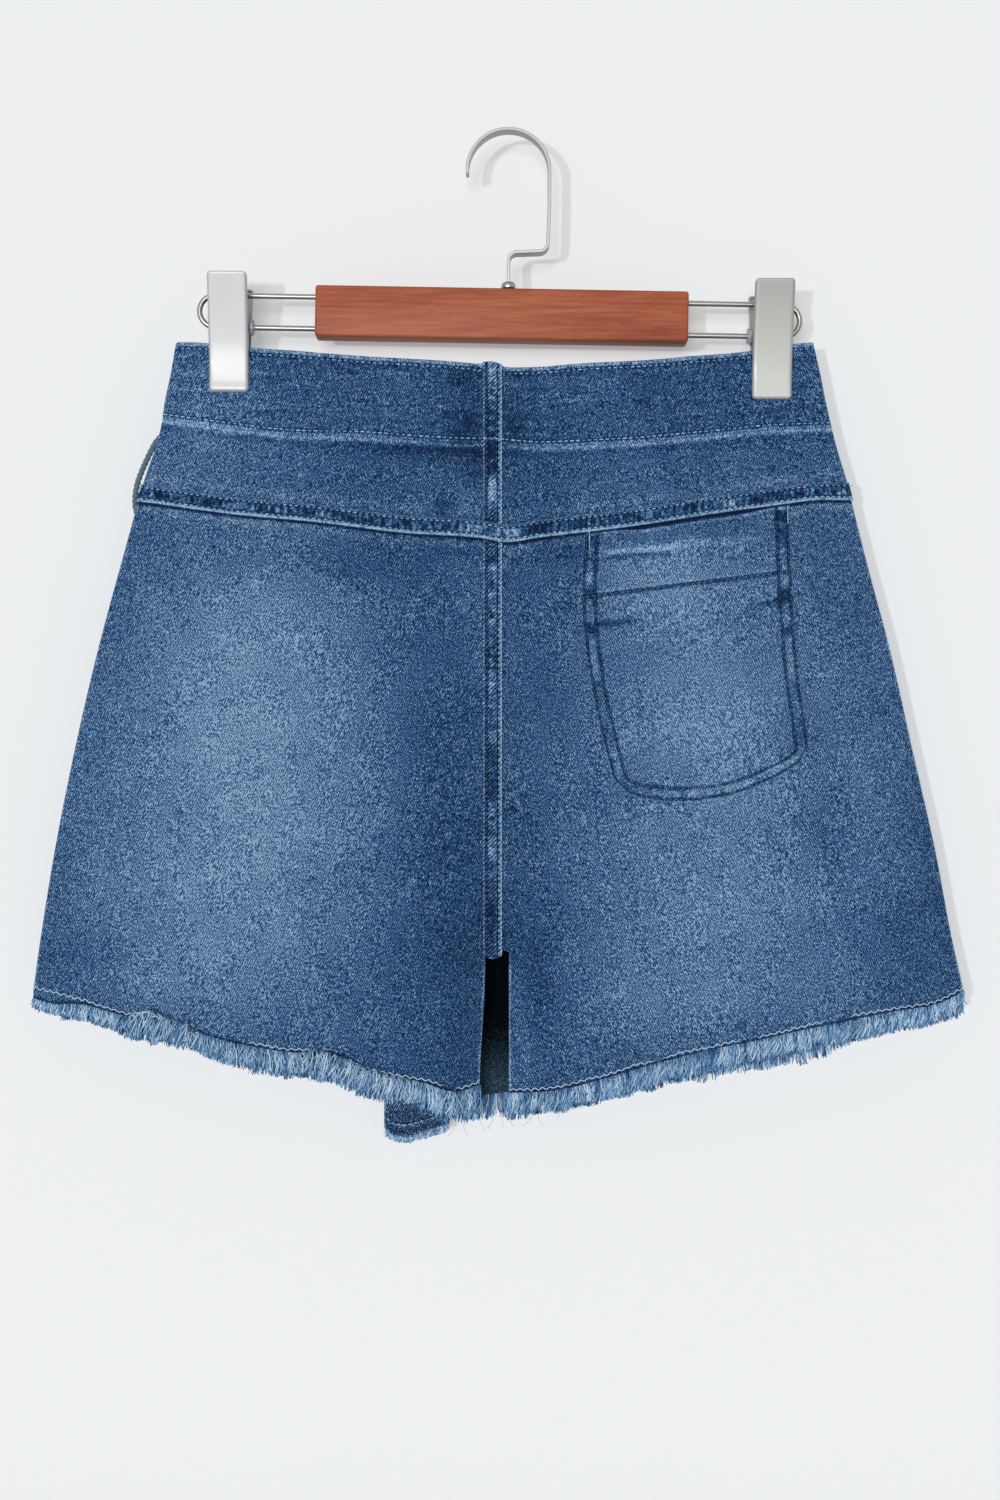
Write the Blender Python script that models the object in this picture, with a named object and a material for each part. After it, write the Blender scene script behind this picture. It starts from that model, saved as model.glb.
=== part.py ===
"""Denim skort with a wrap flap, hung by its waistband from a wooden clip hanger.

X runs across the skort, Y through it and Z up. The skort's back faces -Y and its front +Y. The
origin is the inner top of the hanger's hook, where a rail carries it. Sizes are in millimetres
and become metres when a mesh is made.
"""
import math

import bmesh
import bpy
import numpy as np
from mathutils import Matrix, Vector

MM = 0.001

# Cloth and its layers.
CLOTH = 1.2
BAND_CLOTH = 2.2
FELL_CLOTH = 1.0
POCKET_CLOTH = 1.0
FACING_CLOTH = 1.0
SEAM_GAP = 0.3
OVERLAY_GAP = 0.6

# Flat-felled seams: width of the folded strip, and where the centre-back one runs.
FELL_WIDTH = 10.0
CENTRE_LEFT = -13.3
CENTRE_RIGHT = -3.3
CENTRE = 0.5 * (CENTRE_LEFT + CENTRE_RIGHT)
CENTRE_RISE = 1.6
STRIP_OVERHANG = {"left": 0.6, "right": 0.8}
STRIP_START = 0.018

# The legs' inner edges below the crotch.
CROTCH = -467.0
LEG_GAP_TOP = -470.0
LEG_GAP_BOTTOM = -545.0
LEG_GAP = {"left": -13.0, "right": 0.1}
LEG_GAP_FLARE = 3.1

# How the flat tube of cloth rounds at its sides and swells where nothing pinches it.
SIDE_ROUND = 45.0
INNER_ROUND = 32.0
LEG_SPLIT = -405.0

# The clips: their places, the lean of their plates, the plates' flare from the jaw to the top,
# the ears that join them at the wire, and the bushing that slides on it.
CLIP_X = {"left": -157.8, "right": 149.0}
CLIP_TILT = {"left": math.radians(0.6), "right": math.radians(0.2)}
CLIP_TOP = {"left": -82.2, "right": -86.2}
CLIP_WIDTH = 22.5
CLIP_HEIGHT = 65.5
CLIP_REAR_DROP = 2.4
CLIP_SHEET = 1.5
CLIP_JAW = 9.0
JAW_INSIDE = 2.75
CLIP_SPREAD = 16.5
EAR_SHEET = 1.0
EAR_REACH = 3.9
EAR_HEIGHT = 10.0
EAR_X = {"back": 5.2, "front": 3.4}
BUSHING_RADIUS = 2.9
BUSHING_FLANGE_RADIUS = 4.6
BUSHING_FLANGE = 2.4
BUSHING_TAIL = 6.4

# The flat patch of waistband that each clip nips, and how it eases around it.
NIP_HALF = 13.0
NIP_EASE = 62.0
NIP_BOTTOM = -152.0
NIP_END = -240.0

# The hanger.
HOOK_RADIUS = 22.3
HOOK_SHEET = 1.8
HOOK_WIDTH = 9.0
HOOK_TIP = math.radians(185.0)
HOOK_BEND = 5.0
HOOK_LEG = -42.0
HOOK_LEG_FOOT = 22.4
HOOK_OFFSET = {"leg": -68.3, "stem": -68.7}
COLLAR = (8.2, 13.0, 3.8)
COLLAR_STAND = 0.45
BAR_CENTRE = (-3.8, -104.15)
BAR_LENGTH = 210.4
BAR_HEIGHT = 28.7
BAR_DEPTH = 15.5
BAR_TILT = math.radians(1.0)
WIRE = 3.1
WIRE_SPACING = 18.0
WIRE_SOCKET = 12.0
WIRE_END = {"left": -175.0, "right": 165.0}
BORE_PLAY = 0.3

# The flap: its free edge, how far it stands off the front, how far in from the side seam it is
# sewn, and the columns of its lower corner, where the facing ends and the raw hem begins. The
# front's own legs are cut a little longer than the back's.
FLAP_EDGE = -71.2
FLAP_STAND = 2.6
FLAP_INSET = 2.0
FLAP_CORNER = (-71.2, -68.0, -62.0, -52.0, -42.0, -34.2, -33.0)
FRONT_DROP = 4.0
FRONT_WAIST_DROP = 1.5
FRONT_MIDDLE = 0.49
FACING_LIFT = 0.4
FLAP_FRINGE_START = -32.6

# How far the pocket's open top edge reaches up under the yoke's strip.
POCKET_TUCK = 1.0

LACE = 3.6


def table(columns, *rows):
    """A short table as one array for each named column, in the order of its first column."""
    ordered = np.array(sorted(rows), float).T
    return dict(zip(columns.split(), ordered))


# One row for each level down the skort: its side edges and half the depth of its hollow.
LEVELS = table(
    "z left right hollow",
    (-121, -188.4, 172.8, 3.2),
    (-137, -191.2, 176.4, 3.8),
    (-152, -194.4, 179.4, 4.4),
    (-166, -196.6, 182.6, 5.0),
    (-180, -200.3, 186.2, 5.6),
    (-195, -205.6, 190.8, 6.2),
    (-209, -209.6, 194.2, 6.8),
    (-243, -219.0, 202.7, 7.8),
    (-294, -232.7, 216.2, 8.6),
    (-350, -245.7, 228.8, 9.0),
    (-406, -256.8, 241.5, 9.2),
    (-462, -265.8, 252.2, 9.2),
    (-486, -269.2, 257.8, 9.0),
)

# The seams and cut edges across the skort.
WAIST = table(
    "x z",
    (-188.4, -121.1), (-170, -121.1), (-146, -122.9), (-84, -127.6), (-16, -132.4),
    (-3, -134.2), (17, -133.9), (37, -132.2), (74, -130.2), (119, -126.7),
    (160, -122.2), (172.8, -121.0),
)
BAND_SEAM = table(
    "x z",
    (-196, -162.8), (-158, -167.8), (-115, -172.8), (-84, -173.6), (-43, -176.4),
    (-3, -178.0), (17, -179.4), (37, -178.8), (74, -176.8), (108, -173.4),
    (142, -169.5), (182.5, -167.6),
)
YOKE_SEAM = table(
    "x z",
    (-210, -209.4), (-158, -217.1), (-107, -222.2), (-60, -228.0), (-13, -231.4),
    (-3, -233.3), (17, -230.8), (74, -223.8), (120, -216.6), (153, -212.0),
    (176, -209.1), (194, -208.8),
)
HEM_LEFT = table(
    "x z",
    (-269.2, -486.6), (-239, -493.4), (-212, -500.6), (-185, -505.1), (-164, -512.2),
    (-135, -518.5), (-96, -524.8), (-78, -531.9), (-51, -536.4), (-27, -542.7),
    (-16, -540.0),
)
HEM_RIGHT = table(
    "x z",
    (0.2, -544.7), (30, -541.0), (59, -533.5), (81, -527.0), (114, -518.6),
    (142, -513.0), (180, -504.6), (217, -497.2), (245, -492.5), (257.8, -486.9),
)
FLAP_HEM = table(
    "x z",
    (-71.2, -567.0), (-67, -571.6), (-60, -573.2), (-50, -571.0), (-34, -565.0),
    (-33, -551.5), (-5, -547.0), (40, -540.0), (80, -531.5), (120, -523.5),
    (160, -517.0), (200, -504.0), (257, -488.0),
)

# Length of the frayed edge below each hem.
FRINGE_LEFT = table("x reach", (-269, 8.5), (-220, 11), (-150, 13), (-90, 14.5), (-16, 15.5))
FRINGE_RIGHT = table("x reach", (0, 13), (60, 12.5), (120, 12), (200, 11.5), (258, 9))
FRINGE_FLAP = table("x reach", (-33, 11), (-5, 15), (60, 15), (160, 15), (257, 9))

# The patch pocket on the wearer's right: its sides down its height, and its rounded bottom.
POCKET_SIDES = table(
    "z left right",
    (-212, 44.0, 158.2), (-235, 42.2, 158.6), (-264, 40.8, 159.8), (-308, 45.1, 163.2),
    (-345, 52.8, 168.4), (-365, 58.0, 170.2),
)
POCKET_BOTTOM = table(
    "x z",
    (53.5, -352), (58, -364), (64, -371.5), (72, -376.6), (93, -379.2), (120, -376.8),
    (144, -368.4), (157, -361.5), (164.5, -355), (168.5, -346),
)

# The largest soft folds of the back and the front: centre, half width and half length, how far
# each one stands out (below nought: sinks in) and how far its line leans from upright.
FOLD_COLUMNS = "x z width length lift lean"
BACK_FOLDS = table(
    FOLD_COLUMNS,
    (-152, -380, 30, 105, 1.5, -10),
    (-92, -430, 20, 90, -1.2, -14),
    (-214, -420, 16, 70, -0.9, 12),
    (-30, -168, 12, 30, -1.0, 20),
    (-52, -500, 16, 40, 1.0, 8),
    (52, -180, 40, 9, 0.8, 80),
    (-118, -196, 46, 8, 0.7, -82),
    (96, -440, 26, 80, 1.4, 12),
    (38, -420, 16, 80, -1.1, 6),
    (186, -400, 20, 90, -1.0, -12),
    (214, -455, 18, 55, 1.1, -16),
)
FRONT_FOLDS = table(
    FOLD_COLUMNS,
    (-150, -400, 26, 100, 1.3, 10),
    (-205, -440, 18, 60, -1.0, -12),
    (-100, -300, 22, 80, -0.8, 14),
    (60, -360, 30, 110, 1.2, -8),
    (140, -420, 22, 90, -1.1, 10),
    (200, -380, 20, 90, 1.0, -12),
)

# The lace: out of the flap's upper eyelet, down across the hip to the lower carrier, round the
# wearer's left side in a slack loop, back through the upper carrier and down over its first run
# to the flap's lower eyelet.
EYELET = {"upper": (-61.0, -191.0), "lower": (-61.0, -229.0)}
EYELET_BORE = 2.6
EYELET_RIM = 5.0
CARRIER = {"upper": (-180.0, -174.0), "lower": (-180.0, -221.0)}
CARRIER_HEIGHT = 15.0
CARRIER_WIDTH = 6.0
CARRIER_FOOT = 2.6
CARRIER_CROWN = 3.4
LACE_ROUTE = (
    (-61.0, 12.4, -191.0), (-61.2, 14.6, -191.1), (-63.2, 16.9, -191.8), (-67.0, 18.1, -193.0),
    (-72.0, 17.1, -194.6), (-79.0, 14.0, -196.7), (-88.0, 11.4, -199.4), (-102.0, 10.2, -203.8),
    (-118.0, 9.6, -208.6), (-134.0, 9.3, -213.0), (-150.0, 9.6, -216.8), (-165.0, 10.0, -219.6),
    (-180.0, 9.7, -221.0), (-193.0, 8.3, -222.4), (-202.5, 6.4, -222.6), (-209.0, 4.9, -220.3),
    (-212.2, 4.3, -215.0), (-212.6, 4.2, -207.0), (-211.2, 4.1, -198.4), (-208.2, 4.0, -190.4),
    (-204.6, 4.0, -182.6), (-201.2, 4.0, -175.6), (-197.4, 4.1, -170.2), (-191.6, 4.3, -168.8),
    (-185.5, 4.5, -171.0), (-180.0, 4.7, -174.0), (-168.0, 5.8, -180.2), (-155.0, 7.8, -186.6),
    (-142.0, 10.2, -192.6), (-130.0, 12.6, -198.2), (-118.0, 14.1, -203.8), (-106.0, 14.4, -209.4),
    (-92.0, 14.8, -216.0), (-80.0, 16.8, -221.6), (-72.0, 18.9, -225.2), (-67.0, 19.5, -227.0),
    (-63.2, 18.3, -228.3), (-61.2, 16.0, -228.9), (-61.0, 13.8, -229.0),
)


def smooth(columns, name, at, key):
    """One column of a table at the places `at`, on a smooth curve through its rows.

    A steep row leaves its gentler neighbour without overshooting.
    """
    keys, values = columns[key], columns[name]
    at = np.clip(at, keys[0], keys[-1])
    row = np.clip(np.searchsorted(keys, at, side="right") - 1, 0, len(keys) - 2)
    step = keys[row + 1] - keys[row]
    t = (at - keys[row]) / step
    rise = np.diff(values) / np.diff(keys)
    gentler = np.minimum(np.abs([*rise[:1], *rise]), np.abs([*rise, *rise[-1:]]))
    slope = np.clip(np.gradient(values, keys), -2 * gentler, 2 * gentler)
    start = (1 + 2 * t) * (1 - t) ** 2 * values[row] + t * (1 - t) ** 2 * step * slope[row]
    end = t * t * (3 - 2 * t) * values[row + 1] + t * t * (t - 1) * step * slope[row + 1]
    return start + end


def ramp(at, start, end):
    """From 0 at `start` to 1 at `end`, level at both."""
    t = np.clip((at - start) / (end - start), 0, 1)
    return t * t * (3 - 2 * t)


def swell(distance, reach):
    """How far the cloth has risen at a distance in from a seam, from 0 to 1."""
    return np.sin(0.5 * math.pi * np.clip(distance / reach, 0, 1))


def left_side(z):
    return smooth(LEVELS, "left", z, "z")


def right_side(z):
    return smooth(LEVELS, "right", z, "z")


def waist(x):
    return smooth(WAIST, "z", x, "x")


def band_seam(x):
    return smooth(BAND_SEAM, "z", x, "x")


def yoke_seam(x):
    return smooth(YOKE_SEAM, "z", x, "x")


def hem_edge(rows, drop=0.0):
    """A raw hem's edge, or one cut lower by `drop`."""
    return lambda x: smooth(rows, "z", x, "x") - drop


def left_inner(z):
    """The left half's inner edge: the centre seam, and the inside of the leg below the crotch."""
    leg = LEG_GAP["left"] - LEG_GAP_FLARE * ramp(z, LEG_GAP_TOP, LEG_GAP_BOTTOM)
    return CENTRE - 0.5 * SEAM_GAP + (leg - CENTRE) * ramp(z, CROTCH + 2, LEG_GAP_TOP)


def right_inner(z):
    leg = LEG_GAP["right"]
    return CENTRE + 0.5 * SEAM_GAP + (leg - CENTRE) * ramp(z, CROTCH + 2, LEG_GAP_TOP)


def nip(x, z):
    """1 where a clip nips the waistband flat, easing to 0 around it."""
    aside = np.ones_like(x * z)
    for centre in CLIP_X.values():
        aside = aside * ramp(np.abs(x - centre), NIP_HALF, NIP_EASE)
    return (1 - aside) * (1 - ramp(z, NIP_BOTTOM, NIP_END))


def side_swell(x, z):
    return swell(x - left_side(z), SIDE_ROUND) * swell(right_side(z) - x, SIDE_ROUND)


def legs_swell(x, z):
    """Falls to 0 at the crotch and along the legs' inner edges."""
    inside = np.where(x < CENTRE, left_inner(z) - x, x - right_inner(z))
    return 1 - ramp(z, LEG_SPLIT, CROTCH) * (1 - swell(inside, INNER_ROUND))


def folds(rows, x, z):
    """How far the soft folds of one side stand out at a point."""
    out = np.zeros_like(x * z)
    for i in range(len(rows["x"])):
        fold = {name: column[i] for name, column in rows.items()}
        lean = math.radians(fold["lean"])
        across = (x - fold["x"]) * math.cos(lean) + (z - fold["z"]) * math.sin(lean)
        down = (z - fold["z"]) * math.cos(lean) - (x - fold["x"]) * math.sin(lean)
        out = out + fold["lift"] * np.exp(
            -((across / fold["width"]) ** 2) - (down / fold["length"]) ** 2
        )
    return out


def hollow(x, z, rows, legs=True):
    """Distance from the middle plane to the inside of the back or front cloth."""
    free = side_swell(x, z) * (1 - nip(x, z))
    if legs:
        free = free * legs_swell(x, z)
    return 0.5 * SEAM_GAP + free * (smooth(LEVELS, "hollow", z, "z") + folds(rows, x, z))


def back_inside(x, z):
    return -hollow(x, z, BACK_FOLDS)


def back_outside(x, z):
    return back_inside(x, z) - CLOTH


def back_band_outside(x, z):
    return back_inside(x, z) - BAND_CLOTH


def back_skin(x, z):
    """The back's outermost face, with the waistband's step eased over."""
    step = ramp(z - band_seam(x), -5.0, -1.2)
    return back_outside(x, z) - (BAND_CLOTH - CLOTH) * step


def front_inside(x, z):
    return hollow(x, z, FRONT_FOLDS)


def front_outside(x, z):
    return front_inside(x, z) + CLOTH


def front_band_outside(x, z):
    return front_inside(x, z) + BAND_CLOTH


def flap_inside(x, z):
    """The flap spans both legs, and stands off the front once it is clear of the waistband."""
    stand = OVERLAY_GAP + (FLAP_STAND - OVERLAY_GAP) * ramp(z - band_seam(x), -1.0, -10.0)
    return hollow(x, z, FRONT_FOLDS, legs=False) + CLOTH + stand


def flap_outside(x, z):
    return flap_inside(x, z) + CLOTH


def moved(face, distance):
    """A face function moved along Y."""
    return lambda x, z: face(x, z) + distance


def shifted(edge, distance):
    """An edge function moved along the axis that it gives."""
    return lambda at: edge(at) + distance


def level(value):
    """An edge at a fixed place."""
    return lambda at: np.full_like(at, value)


def spread(left, right, top, bottom, across, down):
    """Rows of points (x, z) between the edges left(z), right(z), top(x) and bottom(x)."""
    s, t = np.meshgrid(across, down)
    x = left(0 * s - 200.0) * (1 - s) + right(0 * s - 200.0) * s
    z = top(x) * (1 - t) + bottom(x) * t
    for _ in range(30):
        x = left(z) * (1 - s) + right(z) * s
        z = top(x) * (1 - t) + bottom(x) * t
    return x, z


def finish(name, bm, material):
    """A mesh in millimetres as a smooth-shaded object in metres."""
    bmesh.ops.scale(bm, vec=(MM, MM, MM), verts=bm.verts)
    mesh = bpy.data.meshes.new(name)
    bm.to_mesh(mesh)
    bm.free()
    mesh.shade_smooth()
    mesh.set_sharp_from_angle(angle=math.radians(35))
    mesh.materials.append(material)
    piece = bpy.data.objects.new(name, mesh)
    bpy.context.collection.objects.link(piece)
    return piece


def wall(name, material, points, near, far):
    """A wall of cloth on rows of points, between the faces near(x, z) and far(x, z)."""
    x, z = points
    rows, columns = x.shape
    bm = bmesh.new()
    layers = []
    for face in (near, far):
        y = face(x, z)
        layers.append(
            [[bm.verts.new((x[r, c], y[r, c], z[r, c])) for c in range(columns)] for r in range(rows)]
        )
    front, back = layers
    for r in range(rows - 1):
        for c in range(columns - 1):
            bm.faces.new((front[r][c], front[r + 1][c], front[r + 1][c + 1], front[r][c + 1]))
            bm.faces.new((back[r][c], back[r][c + 1], back[r + 1][c + 1], back[r + 1][c]))
    rim = [(0, c) for c in range(columns)]
    rim += [(r, columns - 1) for r in range(1, rows)]
    rim += [(rows - 1, c) for c in range(columns - 2, -1, -1)]
    rim += [(r, 0) for r in range(rows - 2, 0, -1)]
    for (r0, c0), (r1, c1) in zip(rim, rim[1:] + rim[:1]):
        bm.faces.new((front[r0][c0], front[r1][c1], back[r1][c1], back[r0][c0]))
    return finish(name, bm, material)


def ribbon(name, material, path, thickness, width, axis):
    """Strip metal or tape bent along a flat path, and `width` wide across it.

    The path is a list of (a, z); `axis` is the coordinate that the width runs along, "x" or "y",
    and `a` is the other one.
    """
    line = [Vector(p) for p in path]
    sides = []
    for i, point in enumerate(line):
        before = (point - line[i - 1]).normalized() if i else (line[1] - point).normalized()
        after = (line[i + 1] - point).normalized() if i + 1 < len(line) else before
        across = (before + after).normalized().orthogonal()
        reach = 0.5 * thickness / across.dot(before.orthogonal())
        sides.append((point + across * reach, point - across * reach))
    outline = [side[0] for side in sides] + [side[1] for side in reversed(sides)]
    bm = bmesh.new()
    place = (lambda p, w: (w, p.x, p.y)) if axis == "x" else (lambda p, w: (p.x, w, p.y))
    face = bm.faces.new([bm.verts.new(place(p, -0.5 * width)) for p in outline])
    grown = bmesh.ops.extrude_face_region(bm, geom=[face])
    along = Vector((width, 0, 0)) if axis == "x" else Vector((0, width, 0))
    corners = [v for v in grown["geom"] if isinstance(v, bmesh.types.BMVert)]
    bmesh.ops.translate(bm, vec=along, verts=corners)
    bmesh.ops.recalc_face_normals(bm, faces=bm.faces)
    return finish(name, bm, material)


def turned(name, material, profile, steps, place):
    """A ring from a closed profile of (radius, distance along the axis), turned about local Z."""
    bm = bmesh.new()
    rings = []
    for i in range(steps):
        angle = 2 * math.pi * i / steps
        turn = (math.cos(angle), math.sin(angle))
        rings.append([bm.verts.new((r * turn[0], r * turn[1], h)) for r, h in profile])
    for i in range(steps):
        now, then = rings[i], rings[(i + 1) % steps]
        for j in range(len(profile)):
            k = (j + 1) % len(profile)
            bm.faces.new((now[j], then[j], then[k], now[k]))
    bmesh.ops.recalc_face_normals(bm, faces=bm.faces)
    bmesh.ops.transform(bm, matrix=place, verts=bm.verts)
    return finish(name, bm, material)


def block(name, material, size, place):
    bm = bmesh.new()
    bmesh.ops.create_cube(bm, size=1.0)
    bmesh.ops.scale(bm, vec=size, verts=bm.verts)
    bmesh.ops.transform(bm, matrix=place, verts=bm.verts)
    return finish(name, bm, material)


def rod(name, material, radius, length, place, sides=16):
    bm = bmesh.new()
    bmesh.ops.create_cone(
        bm, cap_ends=True, segments=sides, radius1=radius, radius2=radius, depth=length
    )
    bmesh.ops.transform(bm, matrix=place, verts=bm.verts)
    return finish(name, bm, material)


def join_or_cut(piece, tool, operation):
    """Adds or takes away a hidden tool's shape."""
    tool.hide_render = True
    tool.display_type = "WIRE"
    change = piece.modifiers.new(tool.name, "BOOLEAN")
    change.operation = operation
    change.object = tool


def rounded(piece, width, segments):
    bevel = piece.modifiers.new("rounded edges", "BEVEL")
    bevel.width = width * MM
    bevel.segments = segments
    bevel.limit_method = "ANGLE"
    bevel.angle_limit = math.radians(50)


def tube(name, material, points, diameter, resolution):
    """A round wire or cord through a list of points."""
    curve = bpy.data.curves.new(name, "CURVE")
    curve.dimensions = "3D"
    curve.bevel_depth = 0.5 * diameter * MM
    curve.bevel_resolution = resolution
    curve.use_fill_caps = True
    spline = curve.splines.new("POLY")
    spline.points.add(len(points) - 1)
    for knot, point in zip(spline.points, points):
        knot.co = (*(Vector(point) * MM), 1)
    curve.materials.append(material)
    piece = bpy.data.objects.new(name, curve)
    bpy.context.collection.objects.link(piece)
    return piece


def finish_material(name, colour, roughness, metallic=0.0):
    material = bpy.data.materials.new(name)
    material.use_nodes = True
    shader = material.node_tree.nodes["Principled BSDF"]
    shader.inputs["Base Color"].default_value = (*colour, 1)
    shader.inputs["Roughness"].default_value = roughness
    shader.inputs["Metallic"].default_value = metallic
    return material


def make_materials():
    return {
        "denim": finish_material("denim", (0.062, 0.142, 0.290), 0.85),
        "denim_band": finish_material("denim_band", (0.055, 0.128, 0.262), 0.85),
        "denim_seam": finish_material("denim_seam", (0.110, 0.205, 0.365), 0.88),
        "denim_facing": finish_material("denim_facing", (0.036, 0.082, 0.170), 0.9),
        "fray": finish_material("fray", (0.235, 0.395, 0.585), 0.95),
        "lace": finish_material("lace", (0.150, 0.215, 0.240), 0.8),
        "wood": finish_material("wood", (0.355, 0.102, 0.055), 0.38),
        "nickel": finish_material("nickel", (0.78, 0.77, 0.75), 0.32, 1.0),
        "bushing": finish_material("bushing", (0.70, 0.69, 0.74), 0.25),
    }


# Where the columns and rows of points lie, from 0 to 1 of a piece's width and height. They are
# closer together where the cloth rounds, is nipped or parts at the crotch.
FROM_SIDE = (0, 0.035, 0.09, 0.16, 0.24, 0.31, 0.39, 0.5, 0.62, 0.76, 0.88, 0.95, 1)
TO_SIDE = tuple(1 - s for s in reversed(FROM_SIDE))
BAND_DOWN = (0, 0.3, 0.6, 0.85, 1)
YOKE_DOWN = (0, 0.2, 0.5, 0.8, 1)
LEG_DOWN = (
    0, 0.05, 0.17, 0.3, 0.42, 0.52, 0.58, 0.63, 0.68, 0.72, 0.75, 0.763, 0.775, 0.83, 0.91, 1,
)
CROTCH_ROW = LEG_DOWN.index(0.763)


def make_back(stuff):
    """The back: waistband, yoke and leg on each side of the centre seam."""
    halves = {
        "left": (left_side, left_inner, FROM_SIDE, HEM_LEFT),
        "right": (right_inner, right_side, TO_SIDE, HEM_RIGHT),
    }
    yoke_top = shifted(band_seam, -SEAM_GAP)
    yoke_bottom = shifted(yoke_seam, 0.5 * FELL_WIDTH + SEAM_GAP)
    leg_top = shifted(yoke_seam, 0.5 * FELL_WIDTH)
    for side, (left, right, across, hem) in halves.items():
        band = spread(left, right, waist, band_seam, across, BAND_DOWN)
        wall(f"waistband_back_{side}", stuff["denim_band"], band, back_band_outside, back_inside)
        yoke = spread(left, right, yoke_top, yoke_bottom, across, YOKE_DOWN)
        wall(f"yoke_back_{side}", stuff["denim"], yoke, back_outside, back_inside)
        leg = spread(left, right, leg_top, hem_edge(hem), across, LEG_DOWN)
        wall(f"leg_back_{side}", stuff["denim"], leg, back_outside, back_inside)


def make_seams(stuff):
    """The folded strips of the flat-felled seams, lying on the back's panels."""
    lie = moved(back_skin, -OVERLAY_GAP)
    top = moved(lie, -FELL_CLOTH)
    upper_edge = shifted(yoke_seam, FELL_WIDTH)
    outer_left = shifted(left_side, -STRIP_OVERHANG["left"])
    outer_right = shifted(right_side, STRIP_OVERHANG["right"])
    runs = {
        "left": (outer_left, level(CENTRE_RIGHT - SEAM_GAP), FROM_SIDE),
        "right": (level(CENTRE_RIGHT), outer_right, TO_SIDE),
    }
    for side, (left, right, across) in runs.items():
        strip = spread(left, right, upper_edge, yoke_seam, across, (0, 0.5, 1))
        wall(f"seam_yoke_{side}", stuff["denim_seam"], strip, top, lie)
    columns = (0, 0.5, 1)
    left, right = level(CENTRE_LEFT), level(CENTRE_RIGHT)
    above = shifted(yoke_seam, FELL_WIDTH + SEAM_GAP)
    start = shifted(waist, CENTRE_RISE)
    strip = spread(left, right, start, above, columns, np.linspace(0, 1, 25))
    wall("seam_centre_upper", stuff["denim_seam"], strip, top, lie)
    down = (STRIP_START, *LEG_DOWN[1:CROTCH_ROW + 1])
    leg_top = shifted(yoke_seam, 0.5 * FELL_WIDTH)
    strip = spread(left, right, leg_top, hem_edge(HEM_LEFT), columns, down)
    wall("seam_centre_lower", stuff["denim_seam"], strip, top, lie)


def make_pocket(stuff):
    """The patch pocket, open along its top under the yoke seam."""
    left = lambda z: smooth(POCKET_SIDES, "left", z, "z")
    right = lambda z: smooth(POCKET_SIDES, "right", z, "z")
    bottom = lambda x: smooth(POCKET_BOTTOM, "z", x, "x")
    across = (0, 0.04, 0.1, 0.2, 0.35, 0.5, 0.65, 0.8, 0.9, 0.96, 1)
    top = shifted(yoke_seam, -POCKET_TUCK)
    patch = spread(left, right, top, bottom, across, np.linspace(0, 1, 9))
    lie = moved(back_outside, -OVERLAY_GAP)
    wall("pocket_back", stuff["denim"], patch, moved(lie, -POCKET_CLOTH), lie)


def make_front(stuff):
    """The plain front under the flap: one waistband and two legs."""
    middle = FRONT_MIDDLE
    across = np.union1d(middle * np.array(FROM_SIDE), middle + (1 - middle) * np.array(TO_SIDE))
    band_top = shifted(waist, -FRONT_WAIST_DROP)
    band = spread(left_side, right_side, band_top, band_seam, across, BAND_DOWN)
    wall("waistband_front", stuff["denim_band"], band, front_inside, front_band_outside)
    halves = {
        "left": (left_side, left_inner, FROM_SIDE, HEM_LEFT),
        "right": (right_inner, right_side, TO_SIDE, HEM_RIGHT),
    }
    top = shifted(band_seam, -2 * SEAM_GAP)
    for side, (left, right, columns, hem) in halves.items():
        leg = spread(left, right, top, hem_edge(hem, FRONT_DROP), columns, LEG_DOWN)
        wall(f"leg_front_{side}", stuff["denim"], leg, front_inside, front_outside)


def make_flap(stuff):
    """The wrap flap over the front, and the facing turned back along its free edge."""
    hem, edge, side = hem_edge(FLAP_HEM), level(FLAP_EDGE), shifted(right_side, -FLAP_INSET)
    hem_width = LEVELS["right"].max() - FLAP_INSET - FLAP_EDGE
    corner = [(x - FLAP_EDGE) / hem_width for x in FLAP_CORNER]
    across = corner + [0.19, 0.28, 0.38, 0.5, 0.62, 0.74, 0.85, 0.93, 1]
    down = (0, 0.04, 0.12, 0.22, 0.33, 0.45, 0.57, 0.69, 0.8, 0.9, 0.95, 1)
    flap_top = shifted(band_seam, -3 * SEAM_GAP)
    flap = spread(edge, side, flap_top, hem, across, down)
    wall("flap_front", stuff["denim"], flap, flap_inside, flap_outside)
    facing = spread(edge, side, flap_top, shifted(hem, FACING_LIFT), corner[:-1], down[1:])
    lie = moved(flap_inside, -OVERLAY_GAP)
    wall("flap_facing", stuff["denim_facing"], facing, moved(lie, -FACING_CLOTH), lie)


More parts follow.
